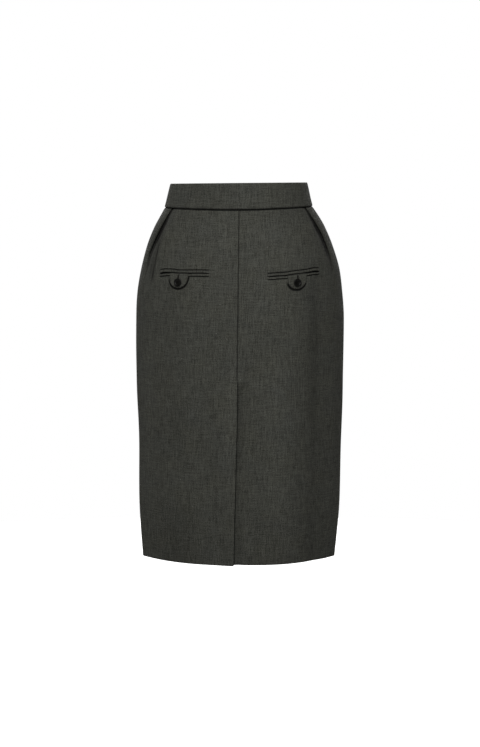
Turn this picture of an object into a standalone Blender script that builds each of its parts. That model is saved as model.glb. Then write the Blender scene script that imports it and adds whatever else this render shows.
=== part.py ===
"""Pencil skirt, worn and filled out with no wearer.

Metres, +Z up. The wearer faces +Y, so the back of the skirt faces -Y and the wearer's left is at -X.
The origin is in the centre of the waist opening, halfway down the waistband.

A place on the cloth is given by three numbers: which side, how far along the cloth from the centre
back, and how far below the waist's top edge (its drop). "Out" moves it away from the body.
"""

import functools
import math
from collections import namedtuple

import bpy
import numpy as np
from mathutils import Matrix, Vector

LEFT, RIGHT = -1, 1  # the wearer's sides

# Driving dimensions, in metres.
BAND_TOP = 0.0225  # height of the waist's top edge
BAND_SIDE_DEPTH = 0.0432
BAND_DIP = 0.0042  # the band's seam dips by this at the centre back and centre front
DIP_FADE = 0.080
HEM_DROP = 0.7155
WAIST_TILT = 0.009  # rise of the waist towards the wearer's right, per metre
TILT_ENDS = 0.300
CLOTH = 0.0014
BAND_CLOTH = 0.0030
BAND_INSET = 0.0001
SEAM = 0.0003  # gap between two pieces
PANEL_TOP = BAND_SIDE_DEPTH + 0.0005  # the slanted edges of band and panels stay clear of each other
SEAM_FORWARD = 0.023  # the side seams lie this far in front of the sides
CENTRE_SEAM_SHIFT = 0.0010  # the centre back seam hangs a little to the wearer's left
CENTRE_SEAM_DRIFT = 0.0116

VENT_TOP = 0.378
VENT_UNDERLAP = 0.040
VENT_RUN_IN = 0.020  # the height over which the under edge slips beneath, and then widens
VENT_LAP_RISE = 0.0008
VENT_CLEARANCE = 0.0005
VENT_BLEND = 0.030

PLEAT_EDGE = {LEFT: 0.0480, RIGHT: 0.0530}  # from the side back to the folded edge
PLEAT_SINK_WIDTH = 0.028

WELT_CLOTH = 0.0012
WELT_CROWN = 0.0003
TAB_CLOTH = 0.0012
TAB_WIDTH = 0.0390
TAB_LENGTH = 0.0305
TAB_STRAIGHT = 0.0105
TAB_TIP_WIDTH = 0.0060
TAB_ROUNDNESS = 2.2
TAB_OVER_WELT = 0.0065

BUTTON_RADIUS = 0.0075
BUTTON_THICKNESS = 0.0030
BUTTON_RIM = 0.0017
BUTTON_DISH = 0.0007
BUTTON_EDGE = 0.0008
BUTTON_HOLE_RADIUS = 0.0008
BUTTON_HOLE_PITCH = 0.0026
BUTTON_GAP = 0.0006

ZIP_GAP = 0.0020
ZIP_END = 0.205
ZIP_FADE = 0.015
TAPE_TOP = 0.0165
TAPE_END = 0.215
TAPE_WIDTH = 0.024
TAPE_CLOTH = 0.0010
TAPE_CLEARANCE = 0.0009
SLIDER_DROP = 0.0095
SLIDER_BODY = (0.0070, 0.0022, 0.0100)  # along the cloth, out, up
SLIDER_NECK = (0.0012, 0.0045, 0.0050)
SLIDER_CROWN = (0.0018, 0.0022, 0.0064)
SLIDER_CROWN_OUT = 0.0028
SLIDER_NECK_IN = 0.0002
SLIDER_GAP = 0.0006
PULL_LENGTH = 0.0240
PULL_WIDTH = 0.0060
PULL_ROOT_WIDTH = 0.0044
PULL_THICKNESS = 0.0012
PULL_CLEARANCE = 0.0040
PULL_NECK = 0.0050
PULL_EAR_TOP = 0.0008

# The body of the skirt, at the middle of the cloth. Rise across a section is (1 - run^power)^flatness.
Form = namedtuple("Form", "drop left right back front power flatness")
FORM = (
    Form(0.0000, 0.1296, 0.1263, 0.0950, 0.0900, 2.00, 0.50),
    Form(0.0430, 0.1407, 0.1367, 0.1030, 0.0960, 2.00, 0.50),
    Form(0.0600, 0.1494, 0.1472, 0.1065, 0.0980, 2.00, 0.50),
    Form(0.0800, 0.1605, 0.1590, 0.1110, 0.1000, 2.00, 0.50),
    Form(0.1150, 0.1750, 0.1746, 0.1180, 0.1030, 2.05, 0.52),
    Form(0.1600, 0.1867, 0.1887, 0.1250, 0.1050, 2.10, 0.55),
    Form(0.2050, 0.1940, 0.1945, 0.1290, 0.1065, 2.15, 0.58),
    Form(0.2600, 0.1963, 0.1981, 0.1290, 0.1070, 2.20, 0.62),
    Form(0.3750, 0.1968, 0.1977, 0.1220, 0.1040, 2.25, 0.68),
    Form(0.4900, 0.1941, 0.1950, 0.1150, 0.0990, 2.35, 0.76),
    Form(0.6100, 0.1927, 0.1918, 0.1080, 0.0930, 2.45, 0.88),
    Form(HEM_DROP, 0.1893, 0.1857, 0.1040, 0.0880, 2.60, 1.00),
)

# The side pleats. The cloth sinks towards the side, turns back through "turn" degrees, runs the length of
# "middle" and turns again to come out "depth" higher: three layers at the waist, which open at the hip and
# then unroll into one low step that melts away.
Pleat = namedtuple("Pleat", "drop middle turn depth")
PLEAT = (
    Pleat(0.0432, 0.0165, 180, 0.0046),
    Pleat(0.0600, 0.0150, 180, 0.0054),
    Pleat(0.0800, 0.0120, 180, 0.0078),
    Pleat(0.1000, 0.0085, 180, 0.0084),
    Pleat(0.1180, 0.0045, 178, 0.0076),
    Pleat(0.1330, 0.0015, 160, 0.0066),
    Pleat(0.1470, 0.0005, 115, 0.0052),
    Pleat(0.1630, 0.0005, 65, 0.0034),
    Pleat(0.1830, 0.0005, 28, 0.0016),
    Pleat(0.2050, 0.0005, 12, 0.0006),
    Pleat(0.2400, 0.0005, 4, 0.0002),
    Pleat(HEM_DROP, 0.0005, 4, 0.0002),
)

# Each pocket: its ends along the cloth, and the drop of its upper edge, mouth and lower edge at those ends.
Pocket = namedtuple(
    "Pocket", "inner outer top_inner top_outer mouth_inner mouth_outer low_inner low_outer tab"
)
POCKET = {
    LEFT: Pocket(0.0573, 0.1605, 0.1587, 0.1593, 0.1648, 0.1652, 0.1705, 0.1708, 0.1175),
    RIGHT: Pocket(0.0505, 0.1577, 0.1660, 0.1562, 0.1720, 0.1626, 0.1772, 0.1680, 0.1085),
}
BUTTON_BELOW_MOUTH = 0.0172

# Mesh rows and columns.
RING_STEPS = 400
SLOPE_STEP = 0.0015  # over which the cloth's direction is measured
SEAT_STEP = 0.004
PLEAT_ROWS = 13
PLEAT_ROWS_END = 0.180
HIP_ROWS = (0.200, 0.230, 0.270, 0.315)
HEM_ROWS = (0.440, 0.490, 0.545, 0.605, 0.660, HEM_DROP)
FRONT_ROWS = (PANEL_TOP, 0.058, 0.074, 0.092, 0.115, 0.140, 0.170, *HIP_ROWS, 0.355, 0.400, *HEM_ROWS)
CENTRE_COLUMNS = 9
UNDERLAP_COLUMNS = (0.0, 0.35, 0.7)
UNDERLAP_START = 0.003  # the mesh column just beside the seam
SINK_COLUMNS = 6
FOLD_STEPS = 4
STRIP_COLUMNS = 4
FRONT_COLUMNS = 22
BAND_COLUMNS = 30
WELT_COLUMNS = 12
TAB_COLUMNS = 8
TAB_ROWS = 9
PULL_ROUND_STEPS = 4
TAPE_COLUMNS = 4
TAPE_ROWS = 13

SIDE_NAME = {LEFT: "left", RIGHT: "right"}


def eased(share):
    """Goes from 0 to 1 with level ends."""
    share = min(max(share, 0.0), 1.0)
    return share * share * (3 - 2 * share)


def mixed(first, second, share):
    return first + (second - first) * share


@functools.lru_cache(maxsize=None)
def between_rows(table, drop):
    """The table's columns at this drop, on a smooth curve through its rows."""
    rows = np.array(table)
    drops = rows[:, 0]
    drop = min(max(drop, drops[0]), drops[-1])
    low = min(int(np.searchsorted(drops, drop, side="right")) - 1, len(rows) - 2)

    def slope(row):
        before = max(row - 1, 0)
        after = min(row + 1, len(rows) - 1)
        return (rows[after] - rows[before]) / (drops[after] - drops[before])

    gap = drops[low + 1] - drops[low]
    t = (drop - drops[low]) / gap
    value = (
        (1 + 2 * t) * (1 - t) ** 2 * rows[low]
        + t * (1 - t) ** 2 * gap * slope(low)
        + t * t * (3 - 2 * t) * rows[low + 1]
        + t * t * (t - 1) * gap * slope(low + 1)
    )
    return type(table[0])(*value)


Ring = namedtuple("Ring", "x y along side whole")


@functools.lru_cache(maxsize=None)
def ring_at(side, drop):
    """One half of the skirt's section, from the centre back round the side to the centre front."""
    form = between_rows(FORM, drop)
    half = form.left if side == LEFT else form.right
    run = np.sin(np.linspace(0, math.pi / 2, RING_STEPS))
    rise = np.maximum(1 - run**form.power, 0) ** form.flatness
    x = side * half * np.concatenate([run, run[-2::-1]])
    y = np.concatenate([-form.back * rise, form.front * rise[-2::-1]])
    along = np.concatenate([[0], np.cumsum(np.hypot(np.diff(x), np.diff(y)))])
    return Ring(x, y, along, along[RING_STEPS - 1], along[-1])


def frame_at(side, along, drop):
    """The point on the cloth, the level direction along it and the level direction out of it."""
    if along < 0:
        side, along = -side, -along
    ring = ring_at(side, round(drop, 6))
    behind, ahead = max(along - SLOPE_STEP, 0.0), along + SLOPE_STEP
    point = Vector((np.interp(along, ring.along, ring.x), np.interp(along, ring.along, ring.y), 0.0))
    run = Vector(
        (
            np.interp(ahead, ring.along, ring.x) - np.interp(behind, ring.along, ring.x),
            np.interp(ahead, ring.along, ring.y) - np.interp(behind, ring.along, ring.y),
            0.0,
        )
    ).normalized()
    outward = Vector((run.y, -run.x, 0.0)) * side
    return point, run, outward


def spot(side, along, drop, out=0.0):
    """A place on the cloth, or moved out of it, as a point in space."""
    point, _, outward = frame_at(side, along, drop)
    point = point + outward * out
    tilt = WAIST_TILT * point.x * (1 - eased(drop / TILT_ENDS))
    point.z = BAND_TOP - drop + tilt
    return point


def seat(side, along, drop, out):
    """A matrix on the cloth: X along it towards +X, Y into it and Z up its slope."""
    step = SEAT_STEP
    centre = spot(side, along, drop, out)
    across = (spot(side, along + step, drop, out) - spot(side, along - step, drop, out)).normalized() * side
    up = spot(side, along, drop - step, out) - spot(side, along, drop + step, out)
    up = (up - across * up.dot(across)).normalized()
    into = up.cross(across)
    turn = Matrix((across, into, up)).transposed().to_4x4()
    return Matrix.Translation(centre) @ turn


def band_seam(side, along):
    """The drop of the waistband's seam, lowest at the centre back and centre front."""
    ring = ring_at(side, BAND_SIDE_DEPTH)
    turn = math.pi / 2 * min(abs(along) / ring.side, 2.0)
    return BAND_SIDE_DEPTH + BAND_DIP * math.cos(turn) ** 2


def panel_drop(side, along, drop):
    """The drop of a panel's row here: near the waist it follows the band's seam, and lower it is level."""
    dip = band_seam(side, along) - BAND_SIDE_DEPTH
    return drop + dip * (1 - eased((drop - BAND_SIDE_DEPTH) / DIP_FADE))


def side_gap(side, drop):
    """The gap at the side seam: the zip's coil shows in the wearer's left one."""
    if side == RIGHT:
        return SEAM
    return mixed(ZIP_GAP, SEAM, eased((drop - ZIP_END) / ZIP_FADE))


def side_seam(side, drop):
    return ring_at(side, round(drop, 6)).side + SEAM_FORWARD


def centre_seam(drop):
    """How far the centre back seam lies towards the wearer's left."""
    return CENTRE_SEAM_SHIFT + CENTRE_SEAM_DRIFT * drop


def row_drops():
    """Close rows down the pleats, open ones over the hips, and rows where the vent begins."""
    pleats = np.linspace(PANEL_TOP, PLEAT_ROWS_END, PLEAT_ROWS)
    vent = (VENT_TOP - VENT_RUN_IN, VENT_TOP, VENT_TOP + VENT_RUN_IN)
    return [float(drop) for drop in (*pleats, *HIP_ROWS, *vent, *HEM_ROWS)]


def vent_out(side, from_seam, drop):
    """The left back stands a little proud at the vent, and the right back sinks and passes beneath it."""
    begun = eased((drop - VENT_TOP + VENT_RUN_IN) / VENT_RUN_IN)
    near = 1 - eased(abs(from_seam) / VENT_BLEND)
    rise = VENT_LAP_RISE * near
    if side == LEFT:
        return rise * begun
    layer = CLOTH + VENT_CLEARANCE
    if from_seam < 0:
        return (rise - layer) * begun
    return (VENT_LAP_RISE - layer) * near * begun


def pleat_columns(side, drop, seam):
    """The back panel across one pleat, from where it begins to sink to the side seam, as (along, out)."""
    pleat = between_rows(PLEAT, drop)
    turn = math.radians(min(pleat.turn, 180))
    radius = (pleat.depth - pleat.middle * math.sin(turn)) / (2 * (1 - math.cos(turn)))
    edge = ring_at(side, round(drop, 6)).side - PLEAT_EDGE[side]
    top = edge + radius * math.sin(min(turn, math.pi / 2))
    upper = []
    for step in range(FOLD_STEPS + 1):
        angle = math.pi / 2 + turn * step / FOLD_STEPS
        upper.append((top + radius * math.cos(angle), radius * math.sin(angle) - radius))
    centre = (
        upper[-1][0] - math.cos(turn) * pleat.middle / 2,
        upper[-1][1] - math.sin(turn) * pleat.middle / 2,
    )
    lower = [(2 * centre[0] - along, 2 * centre[1] - out) for along, out in upper]
    start = edge - PLEAT_SINK_WIDTH
    deepest = min(edge, lower[0][0])
    columns = []
    for step in range(SINK_COLUMNS):
        along = mixed(start, lower[0][0], step / SINK_COLUMNS)
        columns.append((along, -pleat.depth * eased((along - start) / (deepest - start))))
    columns += [*lower, centre, *reversed(upper)]
    columns += [(mixed(top, seam, step / STRIP_COLUMNS), 0.0) for step in range(1, STRIP_COLUMNS + 1)]
    return columns


def back_row(side, drop):
    """One row of a back panel, from its centre edge to its side seam."""
    seam = side_seam(side, drop) - side_gap(side, drop) / 2
    pleat = pleat_columns(side, drop, seam)
    shift = centre_seam(drop) * (1 if side == LEFT else -1)
    first = shift + SEAM / 2
    row = []
    if side == RIGHT:
        under = VENT_UNDERLAP * eased((drop - VENT_TOP) / VENT_RUN_IN)
        for share in UNDERLAP_COLUMNS:
            from_seam = share * UNDERLAP_START - (1 - share) * under
            row.append((first + from_seam, vent_out(side, from_seam, drop)))
        first += UNDERLAP_START
    for step in range(CENTRE_COLUMNS):
        from_seam = (pleat[0][0] - first) * step / CENTRE_COLUMNS
        row.append((first + from_seam, vent_out(side, from_seam, drop)))
    row += pleat
    return [spot(side, along, panel_drop(side, along, drop), out) for along, out in row]


def front_place(share, drop):
    """A place on the front, from -1 at the wearer's left side seam to 1 at the right one."""
    side = LEFT if share < 0 else RIGHT
    ring = ring_at(side, round(drop, 6))
    reach = ring.whole - side_seam(side, drop) - side_gap(side, drop) / 2
    return side, ring.whole - abs(share) * reach


def principled(name, colour, roughness, metallic=0.0):
    material = bpy.data.materials.new(name)
    material.use_nodes = True
    shader = material.node_tree.nodes["Principled BSDF"]
    shader.inputs["Base Color"].default_value = (*colour, 1.0)
    shader.inputs["Roughness"].default_value = roughness
    shader.inputs["Metallic"].default_value = metallic
    material.diffuse_color = (*colour, 1.0)
    return material


def added(name, mesh, material):
    """A new object in the skirt's collection."""
    piece = bpy.data.objects.new(name, mesh)
    mesh.materials.clear()
    mesh.materials.append(material)
    bpy.data.collections["pencil_skirt"].objects.link(piece)
    return piece


def sheet(name, rows, thickness, material):
    """Cloth through rows of points, thickened evenly to both sides."""
    count = len(rows[0])
    faces = []
    for row in range(len(rows) - 1):
        for column in range(count - 1):
            corner = row * count + column
            faces.append((corner, corner + count, corner + count + 1, corner + 1))
    mesh = bpy.data.meshes.new(name)
    mesh.from_pydata([tuple(point) for row in rows for point in row], [], faces)
    mesh.shade_smooth()
    piece = added(name, mesh, material)
    wall = piece.modifiers.new("wall", "SOLIDIFY")
    wall.thickness = thickness
    wall.offset = 0.0
    return piece


def back_panels(wool):
    for side in (LEFT, RIGHT):
        rows = [back_row(side, drop) for drop in row_drops()]
        sheet(f"back_panel_{SIDE_NAME[side]}", rows, CLOTH, wool)


def front_panel(wool):
    rows = []
    for drop in FRONT_ROWS:
        row = []
        for step in range(FRONT_COLUMNS + 1):
            side, along = front_place(2 * step / FRONT_COLUMNS - 1, drop)
            row.append(spot(side, along, panel_drop(side, along, drop)))
        rows.append(row)
    sheet("front_panel", rows, CLOTH, wool)


def waistbands(wool):
    """The contoured band, in a back and a front piece."""
    back_rows, front_rows = [], []
    for level in (0.0, 0.5, 1.0):
        back, front = [], []
        for step in range(BAND_COLUMNS + 1):
            share = 2 * step / BAND_COLUMNS - 1
            side = LEFT if share < 0 else RIGHT
            drop = level * (BAND_SIDE_DEPTH - SEAM / 2)
            along = abs(share) * (side_seam(side, drop) - side_gap(side, drop) / 2)
            dip = level * (band_seam(side, along) - BAND_SIDE_DEPTH)
            back.append(spot(side, along, drop + dip, -BAND_INSET))
            side, along = front_place(share, drop)
            dip = level * (band_seam(side, along) - BAND_SIDE_DEPTH)
            front.append(spot(side, along, drop + dip, -BAND_INSET))
        back_rows.append(back)
        front_rows.append(front)
    sheet("waistband_back", back_rows, BAND_CLOTH, wool)
    sheet("waistband_front", front_rows, BAND_CLOTH, wool)


def pocket_drop(pocket, line, along):
    """The drop of a pocket's top edge, mouth or low edge at this distance from the centre back."""
    share = (along - pocket.inner) / (pocket.outer - pocket.inner)
    return mixed(getattr(pocket, line + "_inner"), getattr(pocket, line + "_outer"), share)


def welts(wool):
    """Two folded strips for each pocket, bowed outwards a little."""
    base = CLOTH / 2 + SEAM + WELT_CLOTH / 2
    for side in (LEFT, RIGHT):
        pocket = POCKET[side]
        for place, upper, lower in (("upper", "top", "mouth"), ("lower", "mouth", "low")):
            rows = []
            for across in (0.0, 1 / 3, 2 / 3, 1.0):
                row = []
                for step in range(WELT_COLUMNS + 1):
                    along = mixed(pocket.inner, pocket.outer, step / WELT_COLUMNS)
                    high = pocket_drop(pocket, upper, along) + SEAM / 2
                    low = pocket_drop(pocket, lower, along) - SEAM / 2
                    out = base + WELT_CROWN * math.sin(math.pi * across)
                    row.append(spot(side, along, mixed(high, low, across), out))
                rows.append(row)
            sheet(f"welt_{place}_{SIDE_NAME[side]}", rows, WELT_CLOTH, wool)


def tab_out(below):
    """How far out a tab lies: over the lower welt at its root, and down to the panel at its tip."""
    over_welt = CLOTH / 2 + SEAM + WELT_CLOTH + WELT_CROWN + SEAM + TAB_CLOTH / 2
    on_panel = CLOTH / 2 + SEAM + TAB_CLOTH / 2
    return mixed(over_welt, on_panel, eased((below - TAB_OVER_WELT) / (TAB_LENGTH - TAB_OVER_WELT)))


def tab_lean(below):
    """The angle at which a tab leans in towards its tip."""
    fall = tab_out(below - SLOPE_STEP) - tab_out(below + SLOPE_STEP)
    return math.atan(fall / (2 * SLOPE_STEP))


def tab_half_width(below):
    if below <= TAB_STRAIGHT:
        return TAB_WIDTH / 2
    share = (below - TAB_STRAIGHT) / (TAB_LENGTH - TAB_STRAIGHT)
    round_end = math.sqrt(max(1 - share**TAB_ROUNDNESS, 0.0))
    return max(TAB_WIDTH / 2 * round_end, TAB_TIP_WIDTH / 2)


def tabs(wool):
    for side in (LEFT, RIGHT):
        pocket = POCKET[side]
        rows = []
        for step in range(TAB_ROWS + 1):
            below = TAB_LENGTH * math.sin(math.pi / 2 * step / TAB_ROWS)
            half = tab_half_width(below)
            row = []
            for column in range(TAB_COLUMNS + 1):
                along = pocket.tab + half * (2 * column / TAB_COLUMNS - 1)
                drop = pocket_drop(pocket, "mouth", along) + SEAM + below
                row.append(spot(side, along, drop, tab_out(below)))
            rows.append(row)
        sheet(f"tab_{SIDE_NAME[side]}", rows, TAB_CLOTH, wool)


def turned(name, profile, steps, material):
    """A solid turned round Z from a profile of (radius, height), from the top centre out and down."""
    mesh = bpy.data.meshes.new(name)
    points = [(radius, 0.0, height) for radius, height in profile]
    mesh.from_pydata(points, [(index, index + 1) for index in range(len(points) - 1)], [])
    piece = added(name, mesh, material)
    screw = piece.modifiers.new("turn", "SCREW")
    screw.steps = steps
    screw.render_steps = steps
    screw.use_merge_vertices = True
    screw.merge_threshold = 0.00001
    return piece


def hidden_cutter(name, piece):
    """Moves a helper out of the part: it only shapes another piece."""
    piece.name = name
    for collection in list(piece.users_collection):
        collection.objects.unlink(piece)
    bpy.data.collections["cutters"].objects.link(piece)
    piece.hide_render = True
    piece.display_type = "WIRE"
    return piece


def boolean(piece, other, operation):
    change = piece.modifiers.new(other.name, "BOOLEAN")
    change.operation = operation
    change.solver = "EXACT"
    change.object = other


def buttons(plastic):
    """Dished four-hole buttons on the tabs."""
    half = BUTTON_THICKNESS / 2
    profile = (
        (0.0, half - BUTTON_DISH),
        (BUTTON_RADIUS - BUTTON_RIM - BUTTON_EDGE, half - BUTTON_DISH),
        (BUTTON_RADIUS - BUTTON_RIM, half),
        (BUTTON_RADIUS - BUTTON_EDGE, half),
        (BUTTON_RADIUS, half - BUTTON_EDGE),
        (BUTTON_RADIUS, -half + BUTTON_EDGE),
        (BUTTON_RADIUS - BUTTON_EDGE, -half),
        (0.0, -half),
    )
    for side in (LEFT, RIGHT):
        pocket = POCKET[side]
        drop = pocket_drop(pocket, "mouth", pocket.tab) + BUTTON_BELOW_MOUTH
        out = tab_out(BUTTON_BELOW_MOUTH) + TAB_CLOTH / 2 + BUTTON_GAP + half
        facing = math.pi / 2 + tab_lean(BUTTON_BELOW_MOUTH)
        place = seat(side, pocket.tab, drop, out) @ Matrix.Rotation(facing, 4, "X")
        button = turned(f"button_{SIDE_NAME[side]}", profile, 28, plastic)
        button.matrix_world = place
        for number in range(4):
            turn = math.pi / 4 + number * math.pi / 2
            offset = Vector((math.cos(turn), math.sin(turn), 0.0)) * BUTTON_HOLE_PITCH / math.sqrt(2)
            bpy.ops.mesh.primitive_cylinder_add(
                vertices=8, radius=BUTTON_HOLE_RADIUS, depth=3 * BUTTON_THICKNESS
            )
            hole = hidden_cutter(f"hole_{SIDE_NAME[side]}_{number + 1}", bpy.context.object)
            hole.matrix_world = place @ Matrix.Translation(offset)
            boolean(button, hole, "DIFFERENCE")


def zip_tape(tape):
    """Both tapes and the closed coil, as one strip behind the wearer's left side seam."""
    behind = -(BAND_CLOTH / 2 + BAND_INSET + TAPE_CLEARANCE + TAPE_CLOTH / 2)
    rows = []
    for step in range(TAPE_ROWS + 1):
        drop = mixed(TAPE_TOP, TAPE_END, step / TAPE_ROWS)
        row = []
        for column in range(TAPE_COLUMNS + 1):
            along = side_seam(LEFT, drop) + TAPE_WIDTH * (column / TAPE_COLUMNS - 0.5)
            row.append(spot(LEFT, along, drop, behind))
        rows.append(row)
    sheet("zip_tape", rows, TAPE_CLOTH, tape)


def box(name, size, centre):
    bpy.ops.mesh.primitive_cube_add(size=1.0)
    piece = bpy.context.object
    piece.name = name
    piece.data.transform(Matrix.Translation(centre) @ Matrix.Diagonal((*size, 1.0)))
    return piece


def zip_seat():
    """The slider's place on the side seam: X along the cloth, Y into it, Z up its slope."""
    drop = SLIDER_DROP
    return seat(LEFT, side_seam(LEFT, drop), drop, 0.0)


def zip_slider(metal):
    """A body behind the band, a neck through the seam and a crown outside that carries the pull."""
    place = zip_seat()
    inside = BAND_CLOTH / 2 + BAND_INSET + SLIDER_GAP + SLIDER_BODY[1] / 2
    body = box("zip_slider", SLIDER_BODY, (0.0, inside, 0.0))
    body.data.materials.append(metal)
    for collection in list(body.users_collection):
        collection.objects.unlink(body)
    bpy.data.collections["pencil_skirt"].objects.link(body)
    body.matrix_world = place
    neck = hidden_cutter("slider_neck", box("neck", SLIDER_NECK, (0.0, SLIDER_NECK_IN, 0.0)))
    crown = hidden_cutter("slider_crown", box("crown", SLIDER_CROWN, (0.0, -SLIDER_CROWN_OUT, 0.0)))
    for helper in (neck, crown):
        helper.matrix_world = place
        boolean(body, helper, "UNION")


def zip_pull(metal):
    """A drop-shaped tab, forked round the slider's crown. Its origin is on its hinge."""
    ear_in = SLIDER_CROWN[0] / 2 + SEAM
    root = PULL_ROOT_WIDTH / 2
    wide = PULL_WIDTH / 2
    right = [(ear_in, PULL_EAR_TOP), (root, PULL_EAR_TOP), (root, -PULL_NECK)]
    for step in range(PULL_ROUND_STEPS + 1):
        angle = math.pi / 2 * step / PULL_ROUND_STEPS
        right.append((wide * math.cos(angle), wide - PULL_LENGTH - wide * math.sin(angle)))
    outline = right + [(-x, z) for x, z in right[-2::-1]]
    outline += [(-ear_in, -PULL_CLEARANCE), (ear_in, -PULL_CLEARANCE)]
    curve = bpy.data.curves.new("pull_outline", "CURVE")
    curve.dimensions = "2D"
    curve.fill_mode = "BOTH"
    curve.extrude = PULL_THICKNESS / 2
    line = curve.splines.new("POLY")
    line.points.add(len(outline) - 1)
    for point, (x, z) in zip(line.points, outline):
        point.co = (x, z, 0.0, 1.0)
    line.use_cyclic_u = True
    pull = bpy.data.objects.new("zip_pull", curve)
    curve.materials.append(metal)
    bpy.data.collections["pencil_skirt"].objects.link(pull)
    hinge = Matrix.Translation((0.0, -SLIDER_CROWN_OUT, 0.0)) @ Matrix.Rotation(math.pi / 2, 4, "X")
    pull.matrix_world = zip_seat() @ hinge


def main():
    for old in list(bpy.data.objects):
        bpy.data.objects.remove(old)
    for name in ("pencil_skirt", "cutters"):
        collection = bpy.data.collections.new(name)
        bpy.context.scene.collection.children.link(collection)
    wool = principled("charcoal_wool", (0.045, 0.045, 0.040), 0.92)
    plastic = principled("black_button", (0.010, 0.010, 0.011), 0.28)
    tape = principled("zip_tape", (0.020, 0.020, 0.019), 0.85)
    metal = principled("dark_metal", (0.25, 0.24, 0.22), 0.35, metallic=1.0)
    back_panels(wool)
    front_panel(wool)
    waistbands(wool)
    welts(wool)
    tabs(wool)
    buttons(plastic)
    zip_tape(tape)
    zip_slider(metal)
    zip_pull(metal)


main()
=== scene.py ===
import math
from collections import namedtuple

import bmesh
import bpy
import numpy as np
from mathutils import Matrix, Vector, noise


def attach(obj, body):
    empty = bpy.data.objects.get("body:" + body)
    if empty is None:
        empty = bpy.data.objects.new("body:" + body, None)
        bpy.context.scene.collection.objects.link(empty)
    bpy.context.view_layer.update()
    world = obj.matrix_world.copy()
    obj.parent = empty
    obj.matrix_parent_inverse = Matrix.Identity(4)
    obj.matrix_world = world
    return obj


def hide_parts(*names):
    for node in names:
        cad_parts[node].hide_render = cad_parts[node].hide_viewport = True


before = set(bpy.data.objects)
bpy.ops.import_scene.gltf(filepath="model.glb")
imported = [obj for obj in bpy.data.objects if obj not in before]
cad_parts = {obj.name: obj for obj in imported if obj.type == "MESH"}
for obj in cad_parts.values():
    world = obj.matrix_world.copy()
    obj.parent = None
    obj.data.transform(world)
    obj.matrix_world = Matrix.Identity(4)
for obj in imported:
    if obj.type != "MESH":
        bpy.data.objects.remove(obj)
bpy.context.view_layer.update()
print("frame loaded")

# A place on the cloth is "around", the distance along the cloth from the centre back (positive
# towards the wearer's right), and "drop", the distance below the waist's top edge. "out" is away
# from the body. The back faces -Y. All sizes are in metres.
left, right = -1, 1
sideName = {left: "left", right: "right"}

skirt = {
    "bandTop": 0.0225,  # height of the waist's top edge
    "bandDepth": 0.0440,  # at the sides
    "panelTop": 0.0450,
    "bandDip": 0.0042,  # more than that at the centre back and front
    "dipFade": 0.080,
    "hemDrop": 0.7162,
    "hemEdge": 0.0008,  # the last row lies this far above the hem, and the rounded edge takes the rest
    "waistTilt": 0.009,
    "tiltEnds": 0.300,
    "cloth": 0.0014,
    "seamGap": 0.0003,
    "fullness": (0.0010, 0.290),  # the cloth's loft outside the waist and hips, and where it ends
    "seamForward": 0.023,  # the side seams lie in front of the sides
    "centreShift": 0.0006,
    "centreDrift": 0.0116,
    "zipGap": 0.0020,  # at the slider; below it the zip draws the edges together
    "zipGapFrom": 0.017,
    "zipGapFade": 0.020,
}

# half widths, depths and roundness of the skirt's sections
ring = namedtuple("ring", "drop left right back front power flatness")
rings = (
    ring(0.0000, 0.1296, 0.1263, 0.0950, 0.0900, 2.00, 0.50),
    ring(0.0430, 0.1407, 0.1367, 0.1030, 0.0960, 2.00, 0.50),
    ring(0.0600, 0.1494, 0.1472, 0.1065, 0.0980, 2.00, 0.50),
    ring(0.0800, 0.1605, 0.1590, 0.1110, 0.1000, 2.00, 0.50),
    ring(0.1150, 0.1750, 0.1746, 0.1180, 0.1030, 2.05, 0.52),
    ring(0.1600, 0.1867, 0.1887, 0.1250, 0.1050, 2.10, 0.55),
    ring(0.2050, 0.1940, 0.1945, 0.1290, 0.1065, 2.15, 0.58),
    ring(0.2600, 0.1963, 0.1981, 0.1290, 0.1070, 2.20, 0.62),
    ring(0.3750, 0.1968, 0.1977, 0.1220, 0.1040, 2.25, 0.68),
    ring(0.4900, 0.1941, 0.1950, 0.1150, 0.0990, 2.35, 0.76),
    ring(0.6100, 0.1937, 0.1928, 0.1080, 0.0930, 2.45, 0.88),
    ring(skirt["hemDrop"], 0.1906, 0.1870, 0.1040, 0.0880, 2.60, 1.00),
)


def eased(share):
    share = np.clip(share, 0.0, 1.0)
    return share * share * (3 - 2 * share)


# From 0 to 1 over a width that begins at start.
def rising(value, start, width):
    return eased((value - start) / width)


# From 1 to 0 over a width that begins at start.
def falling(value, start, width):
    return 1 - rising(value, start, width)


def mixed(first, second, share):
    return first + (second - first) * share


def unit(vectors):
    return vectors / np.maximum(np.linalg.norm(vectors, axis=-1, keepdims=True), 1e-12)


# Every column of a table at these drops, on a smooth curve through its rows.
def alongTable(table, drops):
    rows = np.array(table)
    at = rows[:, 0]
    slopes = np.empty_like(rows)
    slopes[1:-1] = (rows[2:] - rows[:-2]) / (at[2:] - at[:-2])[:, None]
    slopes[0] = (rows[1] - rows[0]) / (at[1] - at[0])
    slopes[-1] = (rows[-1] - rows[-2]) / (at[-1] - at[-2])
    drops = np.clip(np.atleast_1d(drops), at[0], at[-1])
    low = np.clip(np.searchsorted(at, drops, side="right") - 1, 0, len(at) - 2)
    gap = (at[low + 1] - at[low])[:, None]
    t = (drops - at[low])[:, None] / gap
    values = (
        (1 + 2 * t) * (1 - t) ** 2 * rows[low]
        + t * (1 - t) ** 2 * gap * slopes[low]
        + t * t * (3 - 2 * t) * rows[low + 1]
        + t * t * (t - 1) * gap * slopes[low + 1]
    )
    return type(table[0])(*values.T)


# The skirt's sections, laid out once as a fine net that every cloth piece is taken from.
net = {"dropStep": 0.002, "aroundStep": 0.001, "reach": 0.52, "ringSteps": 500, "soften": 0.0030}
tiny = 1e-9  # keeps a size from zero


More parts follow.
